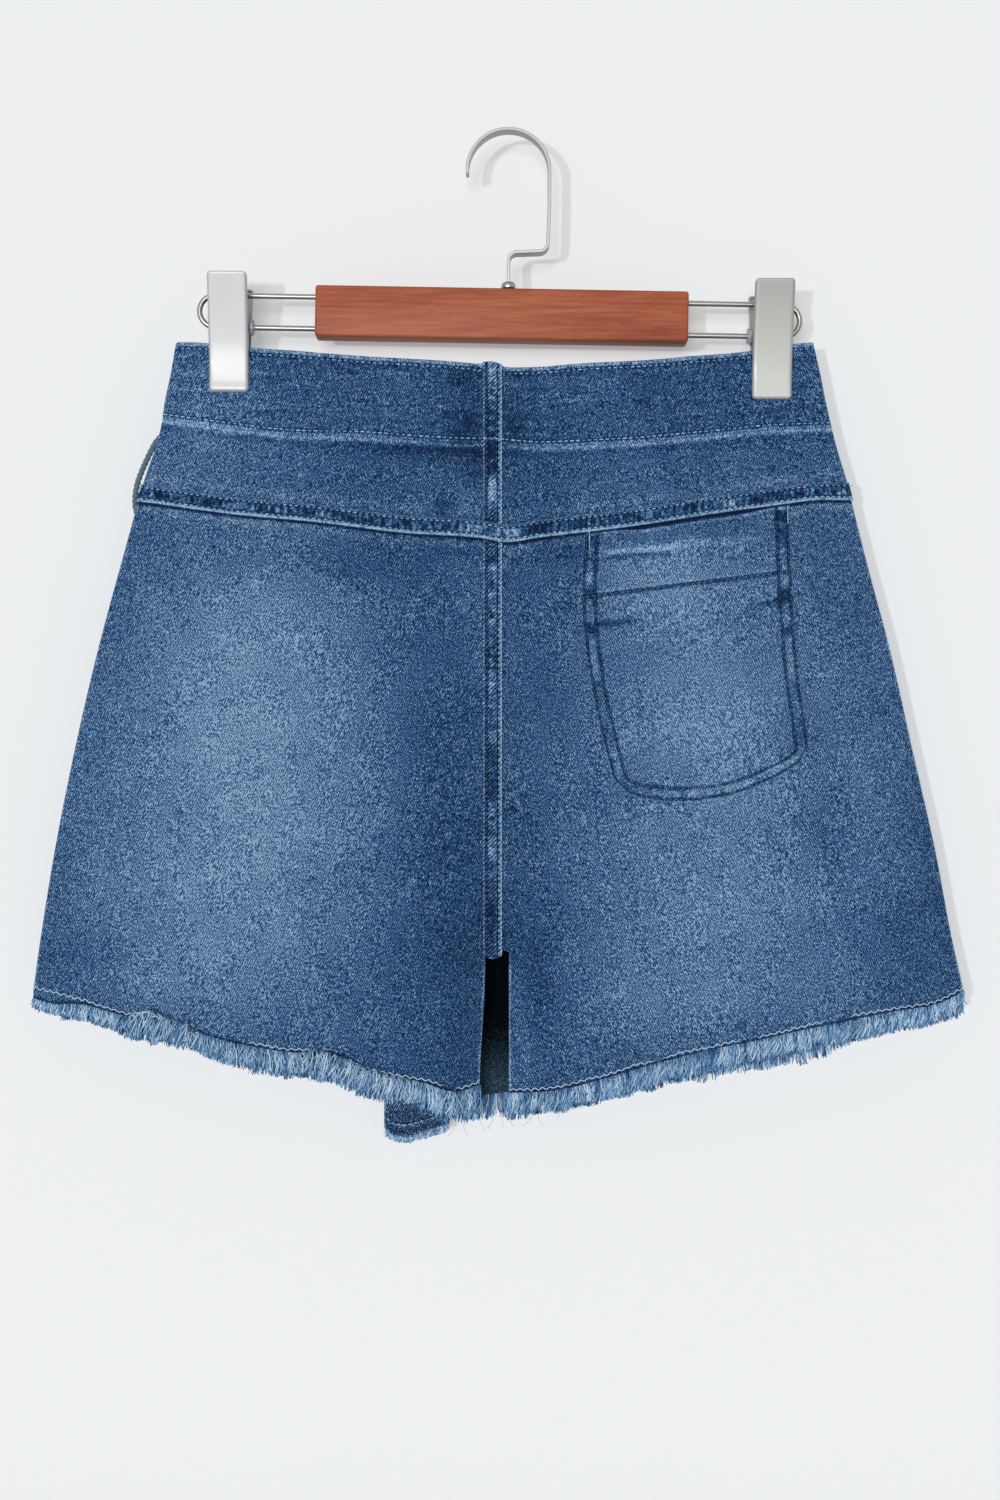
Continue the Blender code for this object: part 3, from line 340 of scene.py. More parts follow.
class Nodes:
    """A node tree with short ways to add to it."""

    def __init__(self, tree):
        self.tree = tree

    def add(self, kind, inputs={}, **settings):
        """A new node's outputs; each input takes a value or another node's output."""
        families = ("ShaderNode", "GeometryNode", "FunctionNode")
        family = next(family for family in families if hasattr(bpy.types, family + kind))
        node = self.tree.nodes.new(family + kind)
        for name, value in settings.items():
            setattr(node, name, value)
        self.set(node.inputs, inputs)
        return node.outputs

    def set(self, sockets, values):
        for key, value in values.items():
            if isinstance(value, bpy.types.NodeSocket):
                self.tree.links.new(value, sockets[key])
            else:
                sockets[key].default_value = value

    def maths(self, operation, *values):
        return self.add("Math", dict(enumerate(values)), operation=operation)[0]

    def product(self, first, *others):
        for other in others:
            first = self.maths("MULTIPLY", first, other)
        return first

    def total(self, *terms):
        """The sum of (value, weight) pairs; a bare value has weight 1."""
        result = 0.0
        for term in terms:
            value, weight = term if isinstance(term, tuple) else (term, 1.0)
            result = self.maths("MULTIPLY_ADD", value, weight, result)
        return result

    def vector(self, *parts):
        return self.add("CombineXYZ", dict(enumerate(parts)))[0]

    def noise(self, vector, scale, detail=2.0, roughness=0.5, stretch=None):
        """Noise from about -0.5 to 0.5; `stretch` scales each axis of the pattern."""
        if stretch:
            vector = self.add("Mapping", {"Vector": vector, "Scale": stretch})[0]
        inputs = {"Vector": vector, "Scale": scale, "Detail": detail, "Roughness": roughness}
        return self.maths("SUBTRACT", self.add("TexNoise", inputs)[0], 0.5)

    def attribute(self, name):
        return self.add("Attribute", attribute_name=name)["Fac"]

    def object_place(self):
        return self.add("TexCoord")["Object"]

    def rising(self, vector, low, high, end, **settings):
        """From 0 at height `low` to `end` at `high`."""
        inputs = {"From Min": low, "From Max": high, "To Min": 0.0, "To Max": end}
        inputs["Value"] = self.add("SeparateXYZ", {0: vector})["Z"]
        return self.add("MapRange", inputs, **settings)[0]

    def colours(self, value, stops):
        """Colours in sRGB along a value from 0 to 1."""
        node = self.tree.nodes.new("ShaderNodeValToRGB")
        self.set(node.inputs, {0: value})
        elements = node.color_ramp.elements
        while len(elements) < len(stops):
            elements.new(0.5)
        for element, (place, *colour) in zip(elements, stops):
            element.position, element.color = place, from_srgb(*colour)
        return node.outputs["Color"]

    def bump(self, height, distance):
        return self.add("Bump", {"Height": height, "Distance": distance * MM, "Strength": 1.0})[0]


def from_srgb(*colour):
    """A colour given as 0 to 255 in sRGB, as linear RGBA."""
    shares = [c / 255 for c in colour]
    linear = [c / 12.92 if c <= 0.04045 else ((c + 0.055) / 1.055) ** 2.4 for c in shares]
    return (*linear, 1.0)


def new_group(kind, name, inputs, output):
    """A node group's nodes and its two ends; sockets are given as type: names."""
    tree = bpy.data.node_groups.new(name, kind)
    for in_out, sockets in (("INPUT", inputs), ("OUTPUT", output)):
        for socket_type, names in sockets.items():
            for socket in names.split():
                kind_name = "NodeSocket" + socket_type
                tree.interface.new_socket(socket, in_out=in_out, socket_type=kind_name)
    ends = tree.nodes.new("NodeGroupInput").outputs, tree.nodes.new("NodeGroupOutput").inputs
    return Nodes(tree), *ends


# ---------------------------------------------------------------- materials

# Colours along a value from 0 to 1: place, red, green and blue.
DENIM_STOPS = numbers("0 0 18 50, .25 10 56 103, .5 55 94 137, .75 100 130 165, 1 156 188 217")
FACING_STOPS = numbers("0 8 22 46, .3 30 56 92, .6 72 106 146, 1 168 196 216")
INSIDE_STOPS = numbers("0 12 18 26, .5 62 74 88, 1 150 162 172")
# Darker colours of the inside, for faces seen through the leg gap: painted shade.
INSIDE_PAINTED_SHADE_STOPS = numbers("0 1 5 11, .5 48 70 86, 1 118 140 156")
FRAY_STOPS = numbers("0 22 64 114, .3 76 126 176, .6 134 182 222, 1 216 238 255")
STITCH_STOPS = {
    "stitching": numbers("0 66 110 158, .5 118 164 206, 1 178 214 242"),
    "dark stitching": numbers("0 22 44 78, 1 90 122 156"),
    "stay stitching": numbers("0 132 170 202, 1 222 238 250"),
    "frayed yarn": FRAY_STOPS,
}
LACE_STOPS = numbers("0 52 70 84, .5 102 124 139, 1 164 184 198")
WOOD_STOPS = numbers("0 102 42 24, .5 158 82 55, 1 194 118 84")
FLOOR_STOPS = numbers("0 234 235 235, 1 240 241 241")
BUSHING_STOPS = numbers("0 176 172 196, 1 222 220 232")

# How far the twill's ribs lean from upright, in degrees, and how far apart they are.
TWILL_LEFT, TWILL_RIGHT = (26.0, 1.2), (-26.0, 1.2)
TWILL_INSIDE, TWILL_STRIP = (-50.0, 1.1), (44.0, 1.6)

# The heights in metres between which a clip's plate gets painted shade towards its top, and how
# rough denim is.
PAINTED_SHADE_FROM, PAINTED_SHADE_TO = -0.150, -0.092
DENIM_ROUGHNESS = 0.88

# Lines that run along a piece's edge: which edge, how far in and how wide in millimetres, how much
# lighter (below nought, darker: the narrow dark lines at stitch rows and under a fell's edge are
# painted shade), how much it is broken into ticks, and how far apart those are.
LINE = ("Place", "Width", "Lift", "Ticked", "Tick")
BAND_LINES = """
    top 1 1.6 0.42 0.7 1, top 3.4 0.7 -0.5 0.2 2, top 5 0.6 -0.12 0.4 2,
    bottom 0.3 1.5 0.22 0.5 2.6, bottom 2.8 0.75 -0.55 0.15 2, side 0 0.8 0.16 0.5 1.6"""
YOKE_LINES = """
    top 0.8 1.5 0.34 0.4 2.6, top 4.6 2 -0.08 0.5 4, bottom 9 2.4 0.09 0.9 5,
    side 0 0.8 0.12 0.5 1.6"""
# On the legs, the dark line 5.6 below the top is painted shadow under the fell's edge.
LEG_LINES = """
    top 5.6 0.9 -0.55 0.2 3, top 8.6 2.6 0.09 0.9 5, side 0.2 0.8 0.16 0.6 1.4,
    bottom 0.9 1.3 -0.36 0.5 2"""
FELL_LINES = """
    bottom 0.8 1.2 0.6 0.7 1, bottom 2.2 0.65 -0.5 0.3 2, bottom 5.2 2.1 -0.18 4.2 2.3,
    bottom 8.1 0.65 -0.52 0.3 2, top 0.6 0.7 0.16 0.8 1.2"""
DOWN_FELL_LINES = """
    right 0.6 0.8 0.5 0.3 1.4, right 2.5 0.7 -0.5 0.3 2, left 0.5 0.7 0.16 0.6 1.4,
    left 2.2 0.8 -0.6 0.3 2, left 5.2 1.8 -0.1 5 3"""
POCKET_LINES = """
    inward 0 0.7 0.14 0.8 1.6, inward 1.5 0.8 -0.55 0.5 3.2, inward 4.4 2.2 0.07 4 5,
    inward 7.6 0.8 -0.5 0.6 3.2, top 0.8 1 0.2 0.6 1.4, cross 0 1 -0.62 0.4 2.4,
    cross 1.9 0.7 0.16 0.6 2"""
FACING_LINES = """
    bottom 0.7 1.3 0.5 0.5 1.2, bottom 8.4 0.6 -0.2 0.3 2, bottom 6.8 0.5 0.14 0.6 1.6,
    left 0.4 1.2 0.24 0.7 1.4"""


def ticks(nodes, along, pitch, distance):
    """Irregular short marks side by side along an edge, from about -1 to 1."""
    place = nodes.maths("DIVIDE", along, nodes.product(pitch, MM))
    point = nodes.vector(place, nodes.maths("DIVIDE", distance, 6 * MM))
    return nodes.total((nodes.noise(point, 1.0, 1.0), 3.6), (nodes.noise(point, 0.19, 1.0), 2.4))


def make_twill():
    """Twill ribs with fleck, slub and mottling: how light the cloth is, and its height."""
    nodes, given, out = new_group(
        "ShaderNodeTree", "twill", {"Vector": "Vector Turn", "Float": "Pitch Rib Fleck Slub"},
        {"Float": "Lightness Height"},
    )
    vector, noise = given["Vector"], nodes.noise
    turned = nodes.add("Mapping", {"Vector": vector, "Rotation": given["Turn"]})[0]
    across = nodes.add("SeparateXYZ", {0: turned})["X"]
    period = nodes.product(given["Pitch"], MM / (2 * math.pi))
    phase = nodes.total(nodes.maths("DIVIDE", across, period), (noise(vector, 160.0), 7.0))
    rib = nodes.maths("SINE", phase)
    fleck = noise(turned, 1400.0, 1.0, 0.6, (1.0, 1.0, 0.7))
    slub = noise(vector, 1.0, 2.0, 0.6, (110.0, 400.0, 900.0))
    yarn = noise(vector, 1.0, 1.0, 0.5, (1100.0, 400.0, 150.0))
    lightness = nodes.total(
        (rib, given["Rib"]), (fleck, given["Fleck"]), (slub, given["Slub"]), (yarn, given["Slub"]),
        (noise(vector, 60.0, 4.0, 0.7), 0.12),
    )
    height = nodes.total((rib, 0.3), (fleck, 1.5))
    nodes.set(out, {"Lightness": lightness, "Height": height})
    return nodes.tree


def make_worn_edge():
    """Short light ticks along a worn fold: how much lighter the cloth gets."""
    nodes, given, out = new_group(
        "ShaderNodeTree", "worn edge", {"Float": "Along Wear Tick"}, {"Float": "Lightness"}
    )
    marks = ticks(nodes, given["Along"], given["Tick"], 0.0)
    amount = nodes.maths("MULTIPLY_ADD", marks, 0.45, 0.8)
    nodes.set(out, {"Lightness": nodes.product(given["Wear"], amount)})
    return nodes.tree


def make_sewn_line():
    """A line at a set distance in from an edge: a worn fold that is lighter, or a groove darkened
    with painted shade.
    """
    nodes, given, out = new_group(
        "ShaderNodeTree", "sewn line", {"Float": "Distance Along " + " ".join(LINE)},
        {"Float": "Lightness"},
    )
    inward = nodes.product(given["Distance"], 1 / MM)
    off = nodes.maths("DIVIDE", nodes.maths("SUBTRACT", inward, given["Place"]), given["Width"])
    mask = nodes.maths("EXPONENT", nodes.product(off, off, -1.0))
    marks = ticks(nodes, given["Along"], given["Tick"], given["Distance"])
    amount = nodes.maths("MULTIPLY_ADD", marks, given["Ticked"], 1.0)
    nodes.set(out, {"Lightness": nodes.product(mask, given["Lift"], amount)})
    return nodes.tree


def new_material(name, roughness, metallic=0.0, **constants):
    """A material, its nodes and its shader, with the values that don't change over the surface."""
    material = bpy.data.materials.new(name)
    material.use_nodes = True
    nodes = Nodes(material.node_tree)
    shader = nodes.tree.nodes["Principled BSDF"].inputs
    nodes.set(shader, {"Roughness": roughness, "Metallic": metallic, **constants})
    return material, nodes, shader


def denim(name, groups, lines="", stops=DENIM_STOPS, base=0.0, twill=TWILL_LEFT, rib=0.18,
          fleck=2.25, slub=0.2, tick=1.3, gloom=None, gloss=1.0):
    """Washed denim: twill on the piece's own wash, with wear along its folds and seams.

    The heights between which painted shade, for the dark of a hollow, darkens the cloth can be
    given, and by how much.
    """
    material, nodes, shader = new_material(
        name, DENIM_ROUGHNESS, **{
            "Sheen Weight": 0.06 * gloss, "Sheen Roughness": 0.5, "Specular IOR Level": 0.2 * gloss,
        }
    )
    vector, along = nodes.object_place(), nodes.attribute("along")
    lean, pitch = twill
    weave = nodes.add("Group", {
        "Vector": vector, "Turn": (0.0, -math.radians(lean), 0.0), "Pitch": pitch, "Rib": rib,
        "Fleck": fleck, "Slub": slub,
    }, node_tree=groups["twill"])
    worn = {"Along": along, "Wear": nodes.attribute("wear"), "Tick": tick}
    terms = [nodes.attribute("wash"), nodes.add("Group", worn, node_tree=groups["worn"])[0], base]
    sewn = []
    for line in filter(None, lines.split(",")):
        edge, *values = line.split()
        inputs = {"Distance": nodes.attribute(edge), "Along": along}
        inputs.update(zip(LINE, map(float, values)))
        sewn.append(nodes.add("Group", inputs, node_tree=groups["line"])[0])
    # Painted shade for the dark of a hollow, deepening between two heights.
    if gloom:
        low, high, depth = gloom
        terms.append(nodes.rising(vector, low, high, -depth, interpolation_type="SMOOTHSTEP"))
    lightness = nodes.total(*terms, weave["Lightness"], *sewn)
    height = nodes.total(weave["Height"], *[(line, 2.4) for line in sewn])
    colour = nodes.colours(lightness, stops)
    nodes.set(shader, {"Base Color": colour, "Normal": nodes.bump(height, 0.14)})
    return material


def surface(name, roughness, marks, stops, base=0.5, raised=0.0, rough=None, dull=0.0,
            shaded=False, **constants):
    """A material of noises; each mark is a noise, and how much it lightens, roughens and raises.

    Darkening the upper part of a clip's plate is painted shade, and lightening it is a painted
    highlight; `shaded` adds a strand's own shade.
    """
    material, nodes, shader = new_material(name, roughness, **constants)
    vector = nodes.object_place()
    made = [(nodes.noise(vector, *noise), *weights) for noise, *weights in marks]
    terms = [nodes.attribute("shade")] if shaded else [base]
    if dull:
        terms.append(nodes.rising(vector, PAINTED_SHADE_FROM, PAINTED_SHADE_TO, -dull))
    shade = nodes.total(*[(mark, light) for mark, light, *_ in made], *terms)
    values = {"Base Color": nodes.colours(shade, stops)}
    if raised:
        height = nodes.total(*[(mark, height) for mark, _, _, height in made if height])
        values["Normal"] = nodes.bump(height, raised)
    if rough is not None:
        rougher = [(mark, more) for mark, _, more, _ in made if more]
        values["Roughness"] = nodes.total(*rougher, rough)
    nodes.set(shader, values)
    return material


def yarn(name):
    """Loose cotton yarn, each strand a little lighter or darker than the next."""
    marks = (((160.0,), 0.5), ((1400.0,), 0.5))
    look = {"shaded": True, "Specular IOR Level": 0.2}
    return surface(name, 0.95, marks, STITCH_STOPS[name], **look)


def make_lace_material():
    """Braided cord: fine slanting yarns on each twisted strand."""
    material, nodes, shader = new_material("lace cord", 0.8, **{"Specular IOR Level": 0.3})
    axes = nodes.add("SeparateXYZ", {0: nodes.add("UVMap", uv_map="cord")[0]})
    turns = nodes.total((axes["X"], 2 * math.pi), (axes["Y"], 2 * math.pi / (0.9 * MM)))
    ply = nodes.maths("SINE", turns)
    mottle = nodes.noise(nodes.object_place(), 700.0, 2.0, 0.6)
    colour = nodes.colours(nodes.total((ply, 0.14), (mottle, 0.6), 0.5), LACE_STOPS)
    nodes.set(shader, {"Base Color": colour, "Normal": nodes.bump(ply, 0.12)})
    return material


def make_wood():
    """Stained close-grained wood under a thin dull lacquer: broad bands, grain and pores."""
    marks = (
        ((1.0, 3.0, 0.55, (9.0, 60.0, 70.0)), 0.9, 0.0, 0.0),
        ((1.0, 3.0, 0.6, (26.0, 500.0, 520.0)), 0.9, 0.15, 0.5),
        ((1.0, 2.0, 0.7, (420.0, 1500.0, 2600.0)), 0.6, 0.3, 0.6),
    )
    lacquer = {"Coat Weight": 0.04, "Coat Roughness": 0.3, "Specular IOR Level": 0.2}
    return surface("stained wood", 0.6, marks, WOOD_STOPS, raised=0.06, rough=0.52, **lacquer)


def metal(name, colour, roughness, brush, along, **look):
    """Satin plated steel, brushed in fine lines across `along`."""
    marks = (
        ((1.0, 2.0, 0.6, along), 0.1, brush, 1.0),
        ((30.0, 3.0, 0.5), 0.08, 0.08, 0.0),
        ((900.0, 2.0, 0.6), 0.08, 0.0, 0.0),
    )
    stops = [(0, *(0.80 * c for c in colour)), (1, *(min(255, 1.06 * c) for c in colour))]
    look = {"base": 0.67, "raised": 0.01, "rough": roughness, "metallic": 1.0, **look}
    return surface(name, roughness, marks, stops, **look)


def make_materials():
    groups = {"twill": make_twill(), "worn": make_worn_edge(), "line": make_sewn_line()}
    fell = {"fleck": 1.8, "slub": 0.3, "tick": 1.6}
    plate = {
        "roughness": 0.6, "brush": 0.08, "along": (60.0, 900.0, 2600.0), "metallic": 0.5,
        "Coat Weight": 0.4, "Coat Roughness": 0.12,
    }
    inside = {"twill": TWILL_INSIDE, "fleck": 1.35, "slub": 0.1}
    stuff = {}
    for side, twill in (("left", TWILL_LEFT), ("right", TWILL_RIGHT)):
        stuff[f"leg {side}"] = denim(f"denim {side} leg", groups, LEG_LINES, twill=twill)
        stuff[f"yoke {side}"] = denim(f"denim {side} yoke", groups, YOKE_LINES, twill=twill)
        stuff[f"band {side}"] = denim(
            f"denim band {side}", groups, BAND_LINES, twill=twill, slub=0.4
        )
    stuff.update({
        "pocket": denim("denim pocket", groups, POCKET_LINES, twill=TWILL_RIGHT, fleck=2.1),
        "fell": denim("denim fell across", groups, FELL_LINES, rib=0.12, **fell),
        "fell down": denim(
            "denim fell down", groups, DOWN_FELL_LINES, twill=TWILL_STRIP, rib=0.27, **fell
        ),
        "plain": denim("denim front", groups),
        "loop": denim("denim loop", groups, base=0.4),
        "facing": denim("denim facing", groups, FACING_LINES, stops=FACING_STOPS, slub=0.3),
        "inside": denim("denim inside", groups, stops=INSIDE_STOPS, **inside),
        # Seen through the leg gap: darker colours and painted shade that deepens towards the
        # crotch.
        "flap inside": denim(
            "denim flap inside", groups, stops=INSIDE_PAINTED_SHADE_STOPS, **inside,
            gloom=(-0.548, -0.486, 0.8), gloss=0.2,
        ),
        "stitch": yarn("stitching"),
        "dark stitch": yarn("dark stitching"),
        "stay stitch": yarn("stay stitching"),
        "fray": yarn("frayed yarn"),
        "lace": make_lace_material(),
        "wood": make_wood(),
        # Both plates share one finish. The right plate gets painted shade towards its top, the left
        # a faint painted highlight there, and their base colours differ a little for the same
        # reason.
        "plate left": metal("satin plate left", (184, 184, 185), dull=-0.15, **plate),
        "plate right": metal("satin plate right", (188, 189, 185), dull=0.46, **plate),
        "wire": metal("drawn wire", (152, 149, 144), 0.34, 0.1, (120.0, 2600.0, 2600.0)),
        "strip": metal("rolled strip", (150, 149, 145), 0.42, 0.1, (900.0, 400.0, 900.0)),
        "bushing": surface(
            "clear plastic", 0.25, (((500.0,), 0.8),), BUSHING_STOPS,
            **{"Transmission Weight": 0.55, "IOR": 1.46},
        ),
    })
    return stuff


# ---------------------------------------------------------------- cloth

# Distances in from an edge at which points lie closer together.
RIM = (0.0, 0.3, 0.7, 1.3, 2.2, 3.4, 5.0)
LEG_TOP_RIM = (0.0, 1.6, 3.4, 4.7, 5.5, 6.3, 7.2, 8.4, 10.0)
FLAP_RIM = (0, 0.5, 1.2, 2.2, 4, 7, 11, 16, 22, 28, 33, 36.4, 37.2, 38.0, 40)
# Extra rows of points where the crotch is, as shares of a back leg's height.
CROTCH_ROWS = (0.7440, 0.7465, 0.7485, 0.7505, 0.7530)

# How far the waist rounds off at its ends, and how far the gap pushes a leg's cloth aside.
CORNER, GAP_REACH = 1.6, 12.0

# How thin a shell is at its rounded edge, and how its rows of points are settled between edges.
THIN_EDGE, FIRST_LEVEL, PASSES = 0.22, -200.0, 31

FRONT_WAIST_DROP, FACING_CLOTH, FACING_LIFT = 1.5, 1.0, 0.4

# The pocket: its cloth, how much thinner that is at its edge, how far its open top reaches under
# the yoke's strip, and its two rows of stitching.
POCKET_CLOTH, POCKET_THIN, POCKET_TUCK, POCKET_ROWS = 1.0, 0.5, 1.0, {"outer": 1.5, "inner": 7.6}

# Worn streaks along the waistband, with painted shade under each: how far below its top edge,
# how light and a seed.
STREAKS = ((6.2, 0.10, 101), (12.4, 0.17, 103), (19, 0.16, 105), (25.6, 0.13, 107), (33, 0.17, 109))


def even(length, step, near=RIM, far=RIM):
    """Shares of a length: even steps between closer ones that begin at each end."""
    span = length - near[-1] - far[-1]
    middle = np.linspace(near[-1], length - far[-1], max(2, round(span / step) + 1))
    at = np.concatenate([near[:-1], middle, length - np.array(far[:-1])[::-1]])
    return at / length


def link(name, mesh):
    piece = bpy.data.objects.new(name, mesh)
    bpy.context.collection.objects.link(piece)
    return piece


def own(piece, slot, stands=True):
    """The piece rides on the skort, and stands for the CAD node that its name begins with."""
    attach(piece, "root")
    if stands:
        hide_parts(piece.name.rpartition("_")[0])


def set_values(mesh, attributes):
    for key, values in attributes.items():
        layer = mesh.attributes.new(key, "FLOAT", "POINT")
        layer.data.foreach_set("value", np.asarray(values, np.float32).ravel())


def shell(name, x, y, z, attributes, materials, cap):
    """A closed shell from two faces of points, `near` first; each array is (2, rows, columns)."""
    near, far = np.arange(x.size).reshape(x.shape)

    def faces(side, *order):
        corners = (side[:-1, :-1], side[1:, :-1], side[1:, 1:], side[:-1, 1:])
        return np.stack([corners[i] for i in order], -1).reshape(-1, 4)

    def rim(side):
        return np.concatenate([side[0, :-1], side[:-1, -1], side[-1, :0:-1], side[:0:-1, 0]])

    rims = [rim(near), np.roll(rim(near), -1), np.roll(rim(far), -1), rim(far)]
    quads = [faces(near, 0, 1, 2, 3), faces(far, 0, 3, 2, 1), np.stack(rims, -1)]
    mesh = bpy.data.meshes.new(name)
    points = np.stack([x, y, z], -1).reshape(-1, 3) * MM
    mesh.from_pydata(points.tolist(), [], np.concatenate(quads).tolist())
    for material in materials:
        mesh.materials.append(material)
    slots = np.repeat(cap, [len(part) for part in quads])
    mesh.polygons.foreach_set("material_index", slots.astype(np.int32))
    set_values(mesh, attributes)
    mesh.shade_smooth()
    mesh.update()
    return link(name, mesh)


class Edges:
    """The four edges of a piece of cloth, and how far a point lies from each."""

    def __init__(self, left, right, top, bottom):
        self.left, self.right, self.top, self.bottom = left, right, top, bottom

    def points(self, across, down):
        """Rows of points (x, z) between the edges."""
        s, t = np.meshgrid(across, down)
        z = 0 * s + FIRST_LEVEL
        for _ in range(PASSES):
            x = self.left(z) * (1 - s) + self.right(z) * s
            z = self.top(x) * (1 - t) + self.bottom(x) * t
        return x, z

    def distances(self, x, z):
        return x - self.left(z), self.right(z) - x, self.top(x) - z, z - self.bottom(x)


def cloth(name, slot, edges, across, down, near, far, materials, dress,
          back_side=True, rounding=0.55, butted=None, lines={}, points=None):
    """A closed shell of cloth between two faces, rounded at its edges but not at a butted one.

    `dress(x, z, distances)` gives the wash, the wear, the place along the worn edge and how far
    the cloth is lifted outwards at each point.
    """
    x, z = (points or edges.points)(across, down)
    distances = edges.distances(x, z)
    left, right, top, bottom = distances
    inner, outer = near(x, z), far(x, z)
    middle, half = 0.5 * (inner + outer), 0.5 * (outer - inner)
    free = [distance for edge, distance in enumerate(distances) if edge != butted]
    nearest = np.clip(np.min(free, axis=0), 0, rounding)
    full = THIN_EDGE + (1 - THIN_EDGE) * np.sqrt(1 - (1 - nearest / rounding) ** 2)
    wash, wear, along, lift = dress(x, z, distances)
    middle = middle - lift if back_side else middle + lift
    side = np.minimum(left, right)
    places = {
        "along": along, "left": left, "right": right, "top": top, "bottom": bottom,
        "side": side, "inward": np.minimum(side, bottom),
        **{key: distance(x, z) for key, distance in lines.items()},
    }
    values = {"wash": wash, "wear": wear, **{key: place * MM for key, place in places.items()}}
    both = lambda value: np.stack([value + 0 * x] * 2)
    piece = shell(
        name, both(x), np.stack([middle - half * full, middle + half * full]), both(z),
        {key: both(value) for key, value in values.items()}, materials,
        (0, 1, 0) if back_side else (1, 0, 0),
    )
    own(piece, slot)


def arched_waist(x):
    """The waist edge: rounded off at both ends, with the centre seam's small hump."""
    ends = np.clip(np.minimum(x - WAIST["x"][0], WAIST["x"][-1] - x), 0, CORNER)
    rounded_off = CORNER - np.sqrt(CORNER**2 - (CORNER - ends) ** 2)
    return raised_waist(x) - rounded_off + 1.9 * ridge(x, CENTRE - 0.6, 5.6)


def raised_waist(x):
    """The waist edge, a little higher towards both clips."""
    off = np.abs(x - CENTRE)
    return waist(x) + 0.6 * ramp(off, 95, 115) + 1.3 * ramp(off, 150, 172)


def streaks(x, top):
    light = 0 * x
    for place, lift, seed in STREAKS:
        here = np.clip(0.25 + 1.3 * uneven(x, 34, seed), 0, 1)
        line = place + 2.2 * uneven(x, 52, seed + 1) + 0.5 * uneven(x, 11, seed + 20)
        # Each streak is worn lighter, with painted shade in the fold just below it.
        light = light + lift * here * (ridge(top, line, 0.9) - 0.6 * ridge(top, line + 2.6, 1.6))
    return light


def mouth(x):
    """1 where the pocket's open top edge hangs a little below the yoke's strip."""
    return ramp(x, 60, 76) * ramp(x, 150, 130)


def dress_band(x, z, distances):
    left, right, top, bottom = distances
    light = streaks(x, top)
    wash = back_wash(x, z) + light - 0.02
    lift = 0.25 * rumple(x, z) + 1.6 * light - 0.45 * (1 - ramp(bottom, 0.0, 3.4))
    lift = lift + 0.22 * pucker(top, x, 4, 2.4, 23) + 0.25 * pucker(bottom, x, 5, 6, 24)
    return wash, 0 * x, x, lift + 0.5 * mounds(CREASES, x, z) * ramp(top, 2, 10)


def dress_front_band(x, z, distances):
    wash, wear, along, lift = dress_band(x, z, distances)
    return WASH_BASE + 0.05 * uneven(z + 0.03 * x, 6, 71) + 0.03, wear, along, 0.6 * lift


def dress_yoke(x, z, distances):
    left, right, top, bottom = distances
    wash = back_wash(x, z) + 0.03 * pucker(top, x, 9, 3.4, 30)
    lift = 0.35 * pucker(top, x, 6, 6.5, 32) + 0.4 * pucker(bottom - 5, x, 8, 7, 33)
    lift = lift + rumple(x, z) + mounds(CREASES, x, z)
    return wash, 0 * x, x, lift * ramp(np.minimum(left, right), 0, 4)


def leg_lift(x, z):
    """The small folds of a back leg: gathers under the yoke and beside the centre seam."""
    under_yoke = pucker(yoke_seam(x) - z, x, 9, 7.5, 42)
    beside_seam = pucker(np.abs(x - CENTRE) - 5.0, z, 7, 8.5, 43) * ramp(z, CROTCH, CROTCH + 14)
    return rumple(x, z) + mounds(CREASES, x, z) + 0.45 * under_yoke + 0.35 * beside_seam


def dress_leg(x, z, distances):
    left, right, top, bottom = distances
    side = np.minimum(left, right)
    wear = 0.35 * ridge(side, 0.2, 1.0) * ramp(z, -462, -478)
    beside_seam = pucker(np.abs(x - CENTRE) - 5.0, z, 6, 7.5, 45)
    gathers = 0.05 * beside_seam + 0.05 * pucker(top - 5, x, 9, 5.5, 46)
    # Painted shadow in the slit under the pocket's open top.
    slit_shadow = 0.5 * ridge(top, 6.2, 1.5) * mouth(x)
    wash = back_wash(x, z) + gathers * ramp(z, CROTCH, CROTCH + 14) - slit_shadow
    hem_wave = 0.7 * uneven(x, 17, 44) * ridge(bottom, 0, 14)
    return wash, wear, np.where(side < bottom, z, x), (leg_lift(x, z) + hem_wave) * ramp(side, 0, 5)


def plain_dress(seed):
    """The wash and folds of a hidden panel."""
    def dress(x, z, distances):
        left, right, top, bottom = distances
        side = np.minimum(left, right)
        wash = 0.42 + 0.05 * uneven(x + 0.4 * z, 31, seed)
        wash = wash + 0.04 * uneven(z - 0.3 * x, 47, seed + 1)
        for middle in (120, -140):
            wash = wash + 0.12 * ridge(x, middle, 70) * ridge(z, -370, 110)
        wear = 0.3 * ridge(side, 0, 0.9) + 0.2 * ridge(top, 0.4, 1.2)
        lift = 0.8 * rumple(x + 40, z) + 0.3 * pucker(top, x, 7, 8, seed + 2)
        return wash, wear, x, lift * ramp(side, 0, 5)
    return dress


def end_drop(x):
    """How much lower the left leg's raw edge hangs near the side."""
    return 4.5 * ramp(x, -236, -260)


def leg_edge(inner):
    """A leg's inner edge with the square-topped gap below the crotch."""
    return lambda z: np.where(z > CROTCH + 3.5, inner(0 * z), inner(np.minimum(z, LEG_GAP_TOP)))


def beside_gap(whole, edge, line):
    """Points of a leg whose cloth near the centre line is pushed aside by the gap."""
    def points(across, down):
        x, z = whole.points(across, down)
        return x + (edge(z) - line) * np.clip(1 - np.abs(x - line) / GAP_REACH, 0, 1), z
    return points


